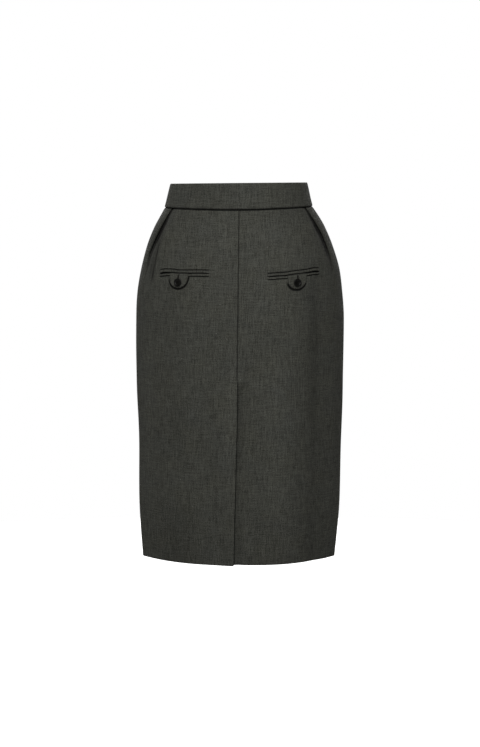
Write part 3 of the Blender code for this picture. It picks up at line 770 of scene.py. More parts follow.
# where a start and a width are given, an effect begins there and takes that far to be complete
backPanel = {
    "columnStep": 0.0042,
    "rowStep": 0.0042,
    "pocketRows": (0.0095, 0.0345),  # finer rows, from above the pocket's middle to below it
    "pocketColumns": (0.0030, 0.0020),  # finer columns, outside and inside each end of the pocket
    "tabColumns": 0.024,
    "fineColumn": 0.0009,
    "underlapColumns": 10,
    "sinkWidth": 0.028,
    "sinkColumns": 20,
    "sinkEase": 0.6,  # how much closer the columns stand next to the fold
    "foldSteps": 8,
    "foldOverlap": 0.0005,
    "foldShades": (0.9, 0.1),  # painted shade at the fold's lip, and how much less at each step out of it
    "stripColumns": 16,
    "stripShade": 0.23,  # painted shade on the cloth beyond the folded edge
    "stripFade": 0.012,
    "ventTop": 0.378,
    "ventRows": (0.018, 0.006),
    "ventRunIn": 0.020,
    "underlap": 0.040,
    "underlapFrom": 0.034,  # above the vent's top
    "ventRise": 0.0024,
    "ventSwing": 0.0034,  # towards the left at the hem
    "swingFrom": (0.400, 0.300),
    "swingWidth": 0.070,
    "ventHollow": (0.0022, 0.0090, 0.0080),  # depth, distance from the lapped edge and width
    "hollowLength": 0.060,
    "hollowEdge": (-0.0010, 0.0040),
    "ventBlend": 0.030,
    "ventClear": 0.0003,
    "lapStep": 0.0025,  # the underlap passes beneath within this far
    "lapShade": (0.86, 0.0008, 0.0024),  # painted shade: its depth, start and width, close to the lapped edge
    # a broader painted shadow beside the lapped edge
    "lapShadow": (0.24, 0.0, 0.024),
    "lapDarkest": 0.95,
    "droop": {left: 0.0010, right: -0.0006},  # how much lower each hem hangs at the vent
    "droopWidth": 0.060,
    "droopFrom": (0.500, 0.200),
    "facing": 0.034,  # the vent's edge is turned back this far
    "hemTurn": 0.038,
    "hemTuck": (0.0030, 0.130),  # the lowest part of the skirt curves in this much over this height
    "turnedCloth": 0.0026,  # where the cloth lies double
    "waistRoll": (0.0013, 0.0030),  # depth and width of the edge that rolls into the waist seam
    "centreRoll": (0.0013, 0.0022),
    "sideRoll": (0.0007, 0.0022),
    # painted shade under the waist seam, and along the centre seam above the vent
    "waistShade": (0.0006, 0.0014),
    "centreShade": (0.50, 0.0015),  # painted shade: its depth and width
    "pocketSink": 0.0018,
    "pocketSlope": 0.0012,
    "pocketSinkEnds": (0.0004, 0.0040),
    # painted shade inside the pocket's outline and along its edges
    "pocketShade": (-0.0014, 0.0009),
    "pocketShadeEnds": (0.0002, 0.0016),
    "pocketTilt": (0.012, 0.050),  # rows tilt with the pocket near it, from its middle
    "pocketTiltSide": (0.003, 0.012),
    "pocketTiltReach": 0.07,
    "calmSeam": 0.020,  # the cloth is even this close to a seam and round the pocket
    "calmPocket": (0.001, 0.012),
    "creasePocket": (-0.0036, 0.012),
}


# how far the pocket's lines wander from straight, from its inner end outwards, and its top's own share
pocketWander = {
    left: (
        (0.0, 0.18, 0.40, 0.56, 0.70, 0.84, 1.0),
        (0.0003, -0.0002, 0.0001, 0.0000, -0.0009, -0.0006, 0.0009),
        (0.0, 0.0, 0.0, 0.0, -0.0005, -0.0011, -0.0008),
    ),
    right: (
        (0.0, 0.15, 0.34, 0.52, 0.70, 0.86, 1.0),
        (-0.0002, 0.0001, 0.0006, -0.0002, 0.0000, -0.0007, 0.0004),
        (0.0, 0.0, 0.0, 0.0, -0.0002, -0.0003, 0.0),
    ),
}


def pocketDrop(side, line, along):
    one = pockets[side]
    share = (along - one.inner) / (one.outer - one.inner)
    places, wander, topAlone = (np.asarray(values) for values in pocketWander[side])
    wander = wander + topAlone * (line == "top")
    even = np.interp(np.clip(share, 0, 1), places, np.arange(len(places)))
    low = np.clip(np.floor(even).astype(int), 0, len(places) - 2)
    shift = mixed(wander[low], wander[low + 1], eased(even - low))
    return mixed(getattr(one, line + "Inner"), getattr(one, line + "Outer"), share) + shift


seams = {
    "shade": (0.45, 0.0016),  # painted shade's depth and width, at the side seams
    "calmSide": 0.015,  # the cloth is even this close to a side seam and to the waist
    "calmWaist": 0.030,
}
welt = {
    "cloth": 0.0012,
    "crown": 0.0023,
    "roundness": 3,
    # painted shade along the welts' edges, and how it starts at the ends
    "shade": 0.0011,
    "shadeEnds": (-0.0003, 0.0030),
    "clearance": 0.0003,
    "height": 0.0100,  # of the cut, flat
    # how far the welts stand apart, from the inner end to the outer one
    "mouthPlaces": (0.0, 0.10, 0.24, 0.40, 0.60, 0.76, 0.93, 1.0),
    "mouth": (0.0004, 0.0013, 0.0008, 0.0018, 0.0010, 0.0022, 0.0027, 0.0006),
    "endTaper": 0.0060,  # the welts flatten into the panel over this far
    "endHeight": 0.30,
    "columns": 72,
    "rows": 16,
    "crowding": 0.5,  # how much closer the columns stand at the ends
    "grainShift": 0.4,
    "grainFrom": {"upper": 0.31, "lower": 0.57},
}
tab = {
    "cloth": 0.0018,
    "width": 0.0376,
    "length": 0.0270,
    "areaShare": 0.88,  # of its width times its length
    "straight": 0.0080,
    "tipWidth": 0.0030,
    "roundness": 2.1,
    "overWelt": 0.0065,
    "pressed": 0.0002,  # into the welt
    "lean": {left: 0.150, right: 0.040},  # its axis leans outwards as it goes down
    "leanFrom": {left: 0.0205, right: 0.0260},
    "haloShift": {left: 0.0012, right: 0.0},
    "halo": (0.0022, 0.0042),  # the painted shadow on the panel round the tab
    "haloDrop": 0.0009,
    "haloDepth": 0.97,
    "haloFrom": {  # where it starts down the tab's inner and outer edge
        left: ((0.0000, 0.0080), (0.0070, 0.0040)),
        right: ((0.0090, 0.0080), (0.0150, 0.0040)),
    },
    "lift": 0.0012,  # the tip stands off the panel
    "edgeRoll": (0.0010, 0.0022),
    # painted shade along the tab's edge and where it leaves the mouth
    "edgeShade": (0.45, 0.0008),
    "mouthShade": (0.8, 0.0010),
    "columns": 44,
    "rows": 40,
    "crowding": 0.6,  # how much closer the columns stand at the sides
    "evenFrom": (0.60, 0.25),  # towards the tip they stand evenly
    "slitColumns": (0.0002, 0.0004, 0.0007, 0.0011, 0.0016),  # more of them beside the buttonhole
    "rimSteps": 3,
    "grainFrom": (0.9, 0.83),
}


button = {
    "radius": 0.0075,
    "thickness": 0.0030,
    "rim": 0.0017,
    "dish": 0.0007,
    "dishSlope": 0.0019,
    "sunk": 0.0001,  # the middle, below the foot of the dish's slope
    "edge": 0.0009,
    "foot": 0.5,  # the flat underneath, beside the radius
    "hole": 0.0008,
    "holeFlare": 1.25,
    "holePitch": 0.0026,
    "gap": 0.0006,
    "belowMouth": {left: 0.0168, right: 0.0160},
    "inwards": {left: 0.0016, right: 0.0019},  # from the tab's middle towards the centre back
    "steps": 64,
    "dishSteps": 5,
    "edgeSteps": 7,
    "holeSteps": 20,
    "sharpAngle": 38,
    "deep": (0.0030, 0.0030, 0.0025),
    "swirl": (0.0070, 0.0070, 0.0058),
    "swirlScale": (260, 900, 900),
    "swirlNoise": (4.0, 0.6, 1.2),  # its detail, roughness and distortion
    "swirlRange": (0.42, 0.70),
    "hazeScale": (2500, 2500, 2500),
    "roughness": (0.36, 0.50),
}
buttonhole = {
    "above": 0.0146,
    "below": 0.0030,
    "halfWidth": 0.0015,
    "slit": 0.0005,
    "slitEdge": 0.0003,
    "slitEnds": 0.0012,
    "deep": 0.0009,
    "pitch": 0.00027,
    "stitchSteps": 6,
    "stitchSides": 5,
    "stitchLow": 0.00005,
    "stitchBulge": 0.00040,
    "bulgeSpan": (0.12, 0.95),
    "endStitches": 18,
    "jitter": (0.00005, 7.7, 2),  # its size, its change from stitch to stitch and between the lips
}


def tabOut(below):
    onPanel = skirt["cloth"] / 2 + skirt["seamGap"] + tab["cloth"]
    overWelt = onPanel + welt["crown"] - tab["pressed"]
    share = rising(below, tab["overWelt"], tab["length"] - tab["overWelt"])
    return mixed(overWelt, onPanel + tab["lift"], share)


def tabMiddle(side, below):
    return pockets[side].tab + tab["lean"][side] * (below - tab["leanFrom"][side])


# How far out from a tab's middle a place lies: 1 is on the tab's edge.
def tabReach(aside, below):
    power = tab["roundness"]
    share = np.maximum((below - tab["straight"]) / (tab["length"] - tab["straight"]), 0)
    return (np.abs(aside / (tab["width"] / 2)) ** power + share**power) ** (1 / power)


# Painted shadow on the panel close round a tab's edge.
def tabShade(side, along, drop):
    below = drop - pocketDrop(side, "mouth", along) - skirt["seamGap"] - tab["haloDrop"]
    aside = along - tabMiddle(side, below) - tab["haloShift"][side]
    outside = (tabReach(aside, below) - 1) * tab["width"] / 2
    start, end = tab["halo"]
    inner, outer = tab["haloFrom"][side]
    begun = np.where(aside < 0, rising(below, *inner), rising(below, *outer))
    return tab["haloDepth"] * falling(outside, start, end - start) * begun


def pleatSection(side, drop):
    row = alongTable(pleats, drop)
    middle, depth = float(row.middle[0]), float(row.depth[0])
    turn = math.radians(min(float(row.turn[0]), 180))
    radius = (depth - middle * math.sin(turn)) / (2 * (1 - math.cos(turn)))
    fold = alongTable(foldEdges, drop)
    inFold, reach, deep = (
        float(getattr(fold, sideName[side] + ending)[0]) for ending in ("", "Reach", "Shade")
    )
    edge = float(sideLength(side, drop)) - inFold
    top = edge + radius * math.sin(min(turn, math.pi / 2))
    steps = backPanel["foldSteps"]
    angles = [math.pi / 2 + turn * step / steps for step in range(steps + 1)]
    upper = [(top + radius * math.cos(angle), radius * math.sin(angle) - radius) for angle in angles]
    centre = (upper[-1][0] - math.cos(turn) * middle / 2, upper[-1][1] - math.sin(turn) * middle / 2)
    lower = [(2 * centre[0] - along, 2 * centre[1] - out) for along, out in upper]
    start = edge - backPanel["sinkWidth"]
    deepest = min(edge, lower[0][0])
    ease = backPanel["sinkEase"]
    section = []
    for step in range(backPanel["sinkColumns"]):
        share = step / backPanel["sinkColumns"]
        along = mixed(start, lower[0][0], share * (1 + ease - ease * share))
        section.append((along, -depth * float(rising(along, start, deepest - start))))
    # painted shade in the fold: rising towards the folded edge, full inside the fold and less at each step
    # out of it
    darkFrom = edge - backPanel["foldOverlap"] - fold.full[0] - reach
    shade = [float(rising(along, darkFrom, reach)) for along, out in section]
    lip, less = backPanel["foldShades"]
    shade += [1.0] * (len(lower) + 1) + [lip - less * number for number in range(len(upper))]
    return [*section, *lower, centre, *reversed(upper)], top, [value * deep for value in shade], deep


def ventBegun(drop):
    return rising(drop, backPanel["ventTop"] - backPanel["ventRunIn"], backPanel["ventRunIn"])


# The left back stands proud at the vent, and the right back sinks and passes beneath it.
def ventOut(side, fromSeam, drop):
    near = falling(np.abs(fromSeam), 0, backPanel["ventBlend"])
    rise = backPanel["ventRise"] * near
    begun = ventBegun(drop)
    if side == left:
        return rise * begun
    layers = backPanel["turnedCloth"] + backPanel["ventClear"]
    under = rise * begun - layers * np.maximum(begun, rising(-fromSeam, 0, backPanel["lapStep"]))
    beside = (backPanel["ventRise"] - layers) * near * begun
    deep, away, wide = backPanel["ventHollow"]
    hollow = deep * np.exp(-(((fromSeam - away) / wide) ** 2))
    hollow = hollow * rising(drop, backPanel["ventTop"], backPanel["hollowLength"])
    return np.where(fromSeam < 0, under, beside - hollow * rising(fromSeam, *backPanel["hollowEdge"]))


# The panel sinks beneath the welts; also how far inside their outline each place lies, and its painted
# shade.
def pocketOut(side, along, drop):
    one = pockets[side]
    ends = np.minimum(along - one.inner, one.outer - along)
    edges = np.minimum(drop - pocketDrop(side, "top", along), pocketDrop(side, "low", along) - drop)
    slope = backPanel["pocketSlope"]
    sink = rising(edges, -slope, slope) * rising(ends, *backPanel["pocketSinkEnds"])
    shade = rising(edges, *backPanel["pocketShade"]) * rising(ends, *backPanel["pocketShadeEnds"])
    return -backPanel["pocketSink"] * sink, np.minimum(ends, edges), shade


def pocketMiddle(side):
    one = pockets[side]
    return (one.topInner + one.topOuter + one.lowInner + one.lowOuter) / 4


def hemTuck(drop):
    deep, height = backPanel["hemTuck"]
    return deep * np.clip((drop - skirt["hemDrop"] + height) / height, 0, 1) ** 2


# A back panel's net: each row's drop, and for each place how far it lies along the cloth and from the
# centre seam, how far the pleat takes it in, and the pleat's painted shade.
def layOutBack(side):
    one, middle, vent = pockets[side], pocketMiddle(side), backPanel["ventTop"]
    above, below = backPanel["pocketRows"]
    drops = panelDrops(backPanel["rowStep"], [(middle - above, middle + below)])
    drops = np.array(sorted([*drops, *(vent - gap for gap in backPanel["ventRows"])]))

    # the columns' shares of the way from the centre seam to the pleat
    first = centreSeam(middle) * -side + skirt["seamGap"] / 2 + edgeSteps[-1]
    last = pleatSection(side, middle)[0][0][0]
    outside, inside = backPanel["pocketColumns"]
    zones = [(one.inner - outside, one.inner + inside), (one.outer - inside, one.outer + outside)]
    zones.append((one.tab - backPanel["tabColumns"], one.tab + backPanel["tabColumns"]))
    columns = spaced(first, last, backPanel["columnStep"], zones, backPanel["fineColumn"])
    shares = (columns[:-1] - first) / (last - first)
    stripShares = np.linspace(0, 1, backPanel["stripColumns"] + 1)[1:]
    lapSteps = backPanel["underlapColumns"] if side == right else 0

    rows = []
    for drop in drops:
        section, stripTop, foldShade, deep = pleatSection(side, drop)
        seamEdge = -side * centreSeam(drop) + skirt["seamGap"] / 2
        under = rising(drop, vent - backPanel["underlapFrom"], backPanel["ventRunIn"])
        under = backPanel["underlap"] * float(under)
        along = [seamEdge - under * (1 - step / lapSteps) for step in range(lapSteps)]
        along += [seamEdge + step for step in edgeSteps[:-1]]
        along += list(mixed(seamEdge + edgeSteps[-1], section[0][0], shares))
        seam = float(sideSeam(side, drop) - sideGap(side, drop) / 2)
        strip = list(mixed(stripTop, seam - edgeSteps[-1], stripShares))
        strip += [seam - step for step in edgeSteps[-2::-1]]
        flat, flatStrip = [0.0] * len(along), [0.0] * len(strip)
        out = flat + [place[1] for place in section] + flatStrip
        beyond = falling(np.array(strip) - stripTop, 0, backPanel["stripFade"])
        shade = flat + foldShade + list(backPanel["stripShade"] * deep * beyond)
        along += [place[0] for place in section] + strip
        rows.append((along, [value - seamEdge for value in along], out, shade))
    return drops, *(np.array(values) for values in zip(*rows))


def makeBackPanel(side):
    one, top, vent = pockets[side], skirt["panelTop"], backPanel["ventTop"]
    drops, along, fromSeam, out, foldShade = layOutBack(side)
    level = np.broadcast_to(drops[:, None], along.shape)
    slope = (one.topOuter - one.topInner) / (one.outer - one.inner)
    tilted = falling(np.abs(level - pocketMiddle(side)), *backPanel["pocketTilt"])
    tilted = tilted * falling(along - one.outer, *backPanel["pocketTiltSide"])
    reach = backPanel["pocketTiltReach"]
    drop = level + slope * np.clip(along - (one.inner + one.outer) / 2, -reach, reach) * tilted
    fromSide = sideSeam(side, drop) - sideGap(side, drop) / 2 - along
    fromTop = np.maximum(level - top, 0)
    drop = panelDrop(side, along, drop)
    asideSeam = np.abs(fromSeam)
    swing = rising(drop, *backPanel["swingFrom"]) * falling(asideSeam, 0, backPanel["swingWidth"])
    around = side * along - backPanel["ventSwing"] * swing
    droop = falling(asideSeam, 0, backPanel["droopWidth"]) * rising(drop, *backPanel["droopFrom"])
    drop = drop + backPanel["droop"][side] * droop

    begun = ventBegun(drop)
    sink, insidePocket, pocketShade = pocketOut(side, along, drop)
    out = np.where(level < top, out * tuck["press"] - tuck["deeper"], out)
    out = out + skirt["cloth"] / 2 + ventOut(side, fromSeam, drop) + sink - hemTuck(drop)
    out += rolled(asideSeam, *backPanel["centreRoll"]) * (1 - begun)
    out += rolled(fromTop, *backPanel["waistRoll"]) + rolled(fromSide, *backPanel["sideRoll"])
    calm = rising(asideSeam, 0, backPanel["calmSeam"]) * rising(fromSide, 0, seams["calmSide"])
    calm = calm * rising(fromTop, 0, seams["calmWaist"]) * rising(-insidePocket, *backPanel["calmPocket"])
    folds = creaseOut(around, drop)
    out += folds.out * rising(-insidePocket, *backPanel["creasePocket"]) + unevenOut(around, drop) * calm

    double = drop > skirt["hemDrop"] - backPanel["hemTurn"]
    if side == left:
        double = double | ((fromSeam < backPanel["facing"]) & (drop > vent))
    thickness = np.where(level < top, tuck["cloth"], skirt["cloth"])
    thickness = np.where(double, backPanel["turnedCloth"], thickness)
    # painted shade under the waist seam, at the side and centre seams, round the pocket, in the pleat and
    # creases, and round the tab
    shades = [
        falling(fromTop, *backPanel["waistShade"]), edgeShade(fromSide, *seams["shade"]),
        edgeShade(asideSeam, *backPanel["centreShade"]) * (1 - begun),
        pocketShade, foldShade, folds.sharp, tabShade(side, along, drop),
    ]
    if side == right:  # painted shade and shadow under and beside the lapped edge
        lap = sum(
            deep * falling(fromSeam, start, width)
            for deep, start, width in (backPanel["lapShade"], backPanel["lapShadow"])
        )
        shades.append(np.minimum(lap, backPanel["lapDarkest"]) * begun)
    points = onCloth(around, drop, out)
    nets = rightward(side, points, drop, thickness, shaded(shades, folds.broad))
    points, drop, thickness, paintedShading = nets
    seamColumn = points.shape[1] - 1 if side == left else backPanel["underlapColumns"]
    grain = grainOf(rowLengths(points, seamColumn), drop)
    piece = clothShell(f"back_panel_{sideName[side]}_cloth", points, thickness, grain, woolCloth, paintedShading)
    return dress(piece, f"back_panel_{sideName[side]}")


backPanels = {side: makeBackPanel(side) for side in (left, right)}
print("back panels sewn")


frontPanel = {
    "columnStep": 0.0046,
    "rowStep": 0.0046,
    "reach": 0.21,  # roughly, from the centre front to the side seam: for the columns' steps
    "dartShare": 0.46,  # of the way from the centre front to the side seam
    "dartColumns": (0.016, 0.0045),  # finer columns beside the dart and their step, as shares
    "dartEnd": 0.140,
    "dartRunOut": 0.012,
    "dartDepth": 0.0008,
    "dartWidth": 0.0014,
    # painted shade along the dart's shallow groove
    "dartShade": 0.7,
    "waistRoll": (0.0013, 0.0030),
    "sideRoll": (0.0007, 0.0022),
    # width of the painted shade under the waist seam
    "waistShade": 0.0022,
    "grainFrom": 0.7,
}


def makeFrontPanel():
    drops = panelDrops(frontPanel["rowStep"])
    level = drops[:, None]
    dart, usual = frontPanel["dartShare"], frontPanel["reach"]
    beside, fineShare = frontPanel["dartColumns"]
    zones = [(dart - beside, dart + beside)]
    shares = spaced(0.0, 1 - edgeSteps[-1] / usual, frontPanel["columnStep"] / usual, zones, fineShare)
    share = np.concatenate([shares, [1 - step / usual for step in edgeSteps[-2::-1]]])[None, :]
    halves = []
    for side in (right, left):  # from the centre front to each side seam
        reach = wholeLength(side, level) - sideSeam(side, level) - sideGap(side, level) / 2
        along = wholeLength(side, level) - share * reach
        fromSide = (1 - share) * reach
        fromTop = np.maximum(level - skirt["panelTop"], 0)
        shown = falling(level, frontPanel["dartEnd"] - frontPanel["dartRunOut"], frontPanel["dartRunOut"])
        line = np.maximum(1 - np.abs(share - dart) * reach / frontPanel["dartWidth"], 0) * shown
        drop = panelDrop(side, along, level)
        folds = creaseOut(side * along, drop)
        calm = rising(fromSide, 0, seams["calmSide"]) * rising(fromTop, 0, seams["calmWaist"])
        out = skirt["cloth"] / 2 + rolled(fromTop, *frontPanel["waistRoll"])
        out = out + rolled(fromSide, *frontPanel["sideRoll"]) - frontPanel["dartDepth"] * line
        out = out + folds.out + unevenOut(side * along, drop) * calm - hemTuck(drop)
        # painted shade under the waist seam, along the dart and at the side seams, with the broad creases'
        # painted shade and highlight
        shades = [
            falling(fromTop, 0, frontPanel["waistShade"]), frontPanel["dartShade"] * line,
            edgeShade(fromSide, *seams["shade"]),
        ]
        halves.append([onCloth(side * along, drop, out), drop, shaded(shades, folds.broad)])
    points, drop, paintedShading = bothHalves(*halves)
    double = drop > skirt["hemDrop"] - backPanel["hemTurn"]
    thickness = np.where(double, backPanel["turnedCloth"], skirt["cloth"])
    thickness = np.where(level < skirt["panelTop"], tuck["cloth"], thickness)
    grain = grainOf(rowLengths(points, share.size - 1) + frontPanel["grainFrom"], drop)
    return dress(clothShell("front_panel_cloth", points, thickness, grain, woolCloth, paintedShading), "front_panel")


frontCloth = makeFrontPanel()
print("front panel sewn")


waistband = {
    "cloth": 0.0030,
    "inset": 0.0001,
    "taller": 0.0016,  # the folded cloth stands up this much more than the solid
    "reach": 0.21,  # roughly, from the middle to a side seam: for the columns' steps
    "columns": 46,
    "rows": 9,
    "rimSteps": 5,
    "bulge": 0.0003,
    "edgeRoll": (0.0004, 0.0030),
    "sideRoll": {left: (0.0016, 0.0080), right: (0.0006, 0.0018)},  # deeper where the pull swings
    "unevenness": 0.25,  # beside the panels' own
    "calmEdge": 0.010,
    # painted shade along the band's lower edge: its depth and width
    "lowShade": (0.5, 0.0010),
    "grainFrom": {"back": (1.3, 0.011), "front": (2.1, 0.011)},
}


def makeWaistband(place):
    half = waistband["cloth"] / 2
    depth = skirt["bandDepth"] - skirt["seamGap"] / 2
    upper, lower = half - waistband["taller"], depth - half
    level = np.concatenate([
        [upper + step for step in edgeSteps[:-1]],
        np.linspace(upper + edgeSteps[-1], lower - edgeSteps[-1], waistband["rows"]),
        [lower - step for step in edgeSteps[-2::-1]],
    ])[:, None]
    even = np.linspace(0, 1 - edgeSteps[-1] / waistband["reach"], waistband["columns"])
    share = np.concatenate([even, [1 - step / waistband["reach"] for step in edgeSteps[-2::-1]]])[None, :]
    halves = []
    for side in ((left, right) if place == "back" else (right, left)):
        reach = sideSeam(side, level) - sideGap(side, level) / 2
        if place == "front":
            reach = wholeLength(side, level) - reach - sideGap(side, level)
        distance = share * reach
        along = distance if place == "back" else wholeLength(side, level) - distance
        drop = level + level / depth * bandDipAt(side, along)
        fromEdge, fromSide = np.minimum(level - upper, lower - level), reach - distance
        calm = rising(fromSide, 0, seams["calmSide"]) * rising(fromEdge, 0, waistband["calmEdge"])
        out = half - waistband["inset"] + waistband["bulge"] * np.sin(math.pi * level / depth)
        out = out + rolled(fromEdge, *waistband["edgeRoll"])
        out = out + rolled(fromSide, *waistband["sideRoll"][side])
        out = out + waistband["unevenness"] * unevenOut(side * along, drop) * calm
        # painted shade along the lower edge and at the side seams, with the broad creases' painted shade
        # and highlight
        shades = [edgeShade(lower - level, *waistband["lowShade"]), edgeShade(fromSide, *seams["shade"])]
        paintedShading = shaded(shades, creaseOut(side * along, drop).broad)
        halves.append([onCloth(side * along, drop, out), drop, paintedShading])
    points, drop, paintedShading = bothHalves(*halves)
    across, down = waistband["grainFrom"][place]
    grain = grainOf(rowLengths(points, points.shape[1] // 2) + across, drop + down)
    name = f"waistband_{place}"
    cloth, rim = waistband["cloth"], waistband["rimSteps"]
    return dress(clothShell(f"{name}_cloth", points, cloth, grain, woolCloth, paintedShading, rim), name)


waistbands = {place: makeWaistband(place) for place in ("back", "front")}
print("waistband sewn")


# Numbers from low to high, closer together at both ends by a share.
def crowded(low, high, count, share):
    even = np.linspace(low, high, count + 1)[None, :]
    middle, half = (low + high) / 2, (high - low) / 2
    return mixed(even, middle + half * np.sin(math.pi / 2 * (even - middle) / half), share)


def makeWelts(side):
    one = pockets[side]
    made = []
    share = crowded(0, 1, welt["columns"], welt["crowding"])
    across = np.linspace(0, 1, welt["rows"] + 1)[:, None]
    along = mixed(one.inner, one.outer, share)
    ends = np.minimum(along - one.inner, one.outer - along)
    mouth = np.interp(share, welt["mouthPlaces"], welt["mouth"]) / 2
    for place, upper, lower in (("upper", "top", "mouth"), ("lower", "mouth", "low")):
        high = pocketDrop(side, upper, along) + (mouth if place == "lower" else welt["clearance"])
        low = pocketDrop(side, lower, along) - (mouth if place == "upper" else welt["clearance"])
        drop = mixed(high, low, across)
        hump = np.sqrt(np.maximum(1 - np.abs(2 * across - 1) ** welt["roundness"], 0))
        hump = hump * mixed(welt["endHeight"], 1.0, rising(ends, 0, welt["endTaper"]))
        out = skirt["cloth"] / 2 + welt["crown"] * hump
        fromEdge = np.minimum(across, 1 - across) * (low - high)
        # painted shade along the welts' edges
        paintedShading = falling(fromEdge, 0, welt["shade"]) * rising(ends, *welt["shadeEnds"])
        points = onCloth(side * along, drop, out)
        grain = grainOf(along + welt["grainShift"] * one.tab, drop + welt["grainFrom"][place])
        points, grain, paintedShading = rightward(side, points, grain, paintedShading)
        node = f"welt_{place}_{sideName[side]}"
        piece = clothShell(f"{node}_cloth", points, welt["cloth"], grain, woolCloth, paintedShading)
        made.append(dress(piece, node))
    return made


def makeTab(side):
    power, halfWidth = tab["roundness"], tab["width"] / 2
    lowest = (1 - (tab["tipWidth"] / tab["width"]) ** 2) ** (1 / power)
    lowest = mixed(tab["straight"], tab["length"], lowest)
    below = (lowest * np.sin(math.pi / 2 * np.linspace(0, 1, tab["rows"] + 1)))[:, None]
    share = np.clip((below - tab["straight"]) / (tab["length"] - tab["straight"]), 0, 1)
    fine = [place / halfWidth for place in tab["slitColumns"]]
    across = crowded(-1, 1, tab["columns"], tab["crowding"])[0]
    across = np.array(sorted([*across, *fine, *(-place for place in fine)]))[None, :]
    even = np.linspace(-1, 1, across.size)[None, :]
    sideways = halfWidth * np.sqrt(1 - share**power) * mixed(across, even, rising(share, *tab["evenFrom"]))
    along = tabMiddle(side, below) + sideways
    drop = pocketDrop(side, "mouth", along) + skirt["seamGap"] + below
    fromEdge = np.maximum(1 - tabReach(sideways, below), 0) * halfWidth
    # the buttonhole's slit is open above the button's stem: a shallow groove with painted shade in it
    middle, ends = button["belowMouth"][side], buttonhole["slitEnds"]
    within = rising(below, middle - buttonhole["above"], ends) * rising(middle - below, 0, ends)
    slit = falling(np.abs(sideways), buttonhole["slit"], buttonhole["slitEdge"]) * within
    out = tabOut(below) + rolled(fromEdge, *tab["edgeRoll"]) - buttonhole["deep"] * slit
    # painted shade along the tab's edge, where it leaves the mouth and in the slit
    paintedShading = shaded([edgeShade(fromEdge, *tab["edgeShade"]), edgeShade(below, *tab["mouthShade"]), slit], 0)
    grain = grainOf(along + tab["grainFrom"][0], drop + tab["grainFrom"][1])
    points, grain, paintedShading = rightward(side, onCloth(side * along, drop, out), grain, paintedShading)
    name = f"tab_{sideName[side]}"
    cloth, rim = tab["cloth"], tab["rimSteps"]
    return dress(clothShell(f"{name}_cloth", points, cloth, grain, woolCloth, paintedShading, rim), name)


welts = {side: makeWelts(side) for side in (left, right)}
tabs = {side: makeTab(side) for side in (left, right)}
print("pockets sewn")


thread = {
    "colour": (0.0115, 0.0115, 0.0100),
    "darkShare": 0.55,  # painted shade between the plies, in the twist's grooves
    "twist": 0.00028,
    "twistShare": 0.3,
    "waver": 1.5,
    "height": 0.00004,
    "thick": 0.00016,
    "sides": 6,
    "aside": (0.31, 0.87, 0.38),  # a direction that no thread runs in
    "strands": (-1.5, -0.5, 0.5, 1.5),
    "strandGap": 0.00017,
    "into": 0.0001,  # how far beneath the dish the bars bend into the holes
    "loop": 0.00034,  # the bars stand up this much between the holes
    "loopSteps": 8,
    "loopFullness": 0.6,
    "spread": 0.00002,
    "tail": 0.0010,
    "stemRadius": 0.0014,
    "stemEnds": (0.00012, 0.0006),
    "stemTurns": 6,
    "stemSteps": 16,
}


# The faces round a tube, between one ring of corners and the next.
def ringFaces(near, far, sides):
    for corner in range(sides):
        following = (corner + 1) % sides
        yield near + corner, near + following, far + following, far + corner


# Round threads or wires along lines of points, all in one mesh.
def tubes(name, lines, radius, sides, material):
    points, faces = [], []
    turns = [2 * math.pi * corner / sides for corner in range(sides)]
    for line in lines:
        line = np.asarray(line, float)
        heading = np.roll(line, -1, axis=0) - np.roll(line, 1, axis=0)
        heading[0], heading[-1] = line[1] - line[0], line[-1] - line[-2]
        heading = unit(heading)
        aside = unit(np.cross(heading, thread["aside"]))
        above = np.cross(aside, heading)
        base, last = len(points), len(points) + (len(line) - 1) * sides
        for place, one, other in zip(line, aside, above):
            points += [place + radius * (one * math.cos(turn) + other * math.sin(turn)) for turn in turns]
        for near in range(base, last, sides):
            faces += ringFaces(near, near + sides, sides)
        faces.append(tuple(base + corner for corner in reversed(range(sides))))
        faces.append(tuple(last + corner for corner in range(sides)))
    mesh = newMesh(name, [tuple(place) for place in points], faces, material)
    mesh.shade_smooth()
    return addObject(mesh)


def makeThread():
    material, tree, shader = newMaterial(
        "charcoal thread", Roughness=0.8, Sheen_Weight=0.03, Specular_IOR_Level=0.12
    )
    where = tree.nodes.new("ShaderNodeTexCoord").outputs["Object"]
    scale = thread["twistShare"] / thread["twist"]
    plies = addNode(tree, "ShaderNodeTexWave", Scale=scale, Distortion=thread["waver"], Vector=where)
    plies.bands_direction = "DIAGONAL"
    ply = plies.outputs["Fac"]
    # painted shade in the grooves between the plies, where the bump is low
    colour = colourMix(tree, ply, darker(thread["colour"], thread["darkShare"]), thread["colour"])
    feed(tree, shader.inputs["Base Color"], colour)
    addBump(tree, shader, ply, thread["height"])
    return material


def makeButtonResin():
    material, tree, shader = newMaterial(
        "black button resin", Coat_Weight=0.01, Coat_Roughness=0.35, Specular_IOR_Level=0.16
    )
    where = tree.nodes.new("ShaderNodeTexCoord").outputs["Object"]
    swirl = noiseNode(tree, stretched(tree, where, button["swirlScale"]), *button["swirlNoise"])
    swirled = ranged(tree, swirl, *button["swirlRange"], 0.0, 1.0)
    colour = colourMix(tree, swirled, button["deep"], button["swirl"])
    haze = noiseNode(tree, stretched(tree, where, button["hazeScale"]), 2.0)
    roughness = ranged(tree, haze, *noiseSpan, *button["roughness"])
    feedNamed(tree, shader, {"Base Color": colour, "Roughness": roughness})
    return material


threadMaterial = makeThread()
resin = makeButtonResin()


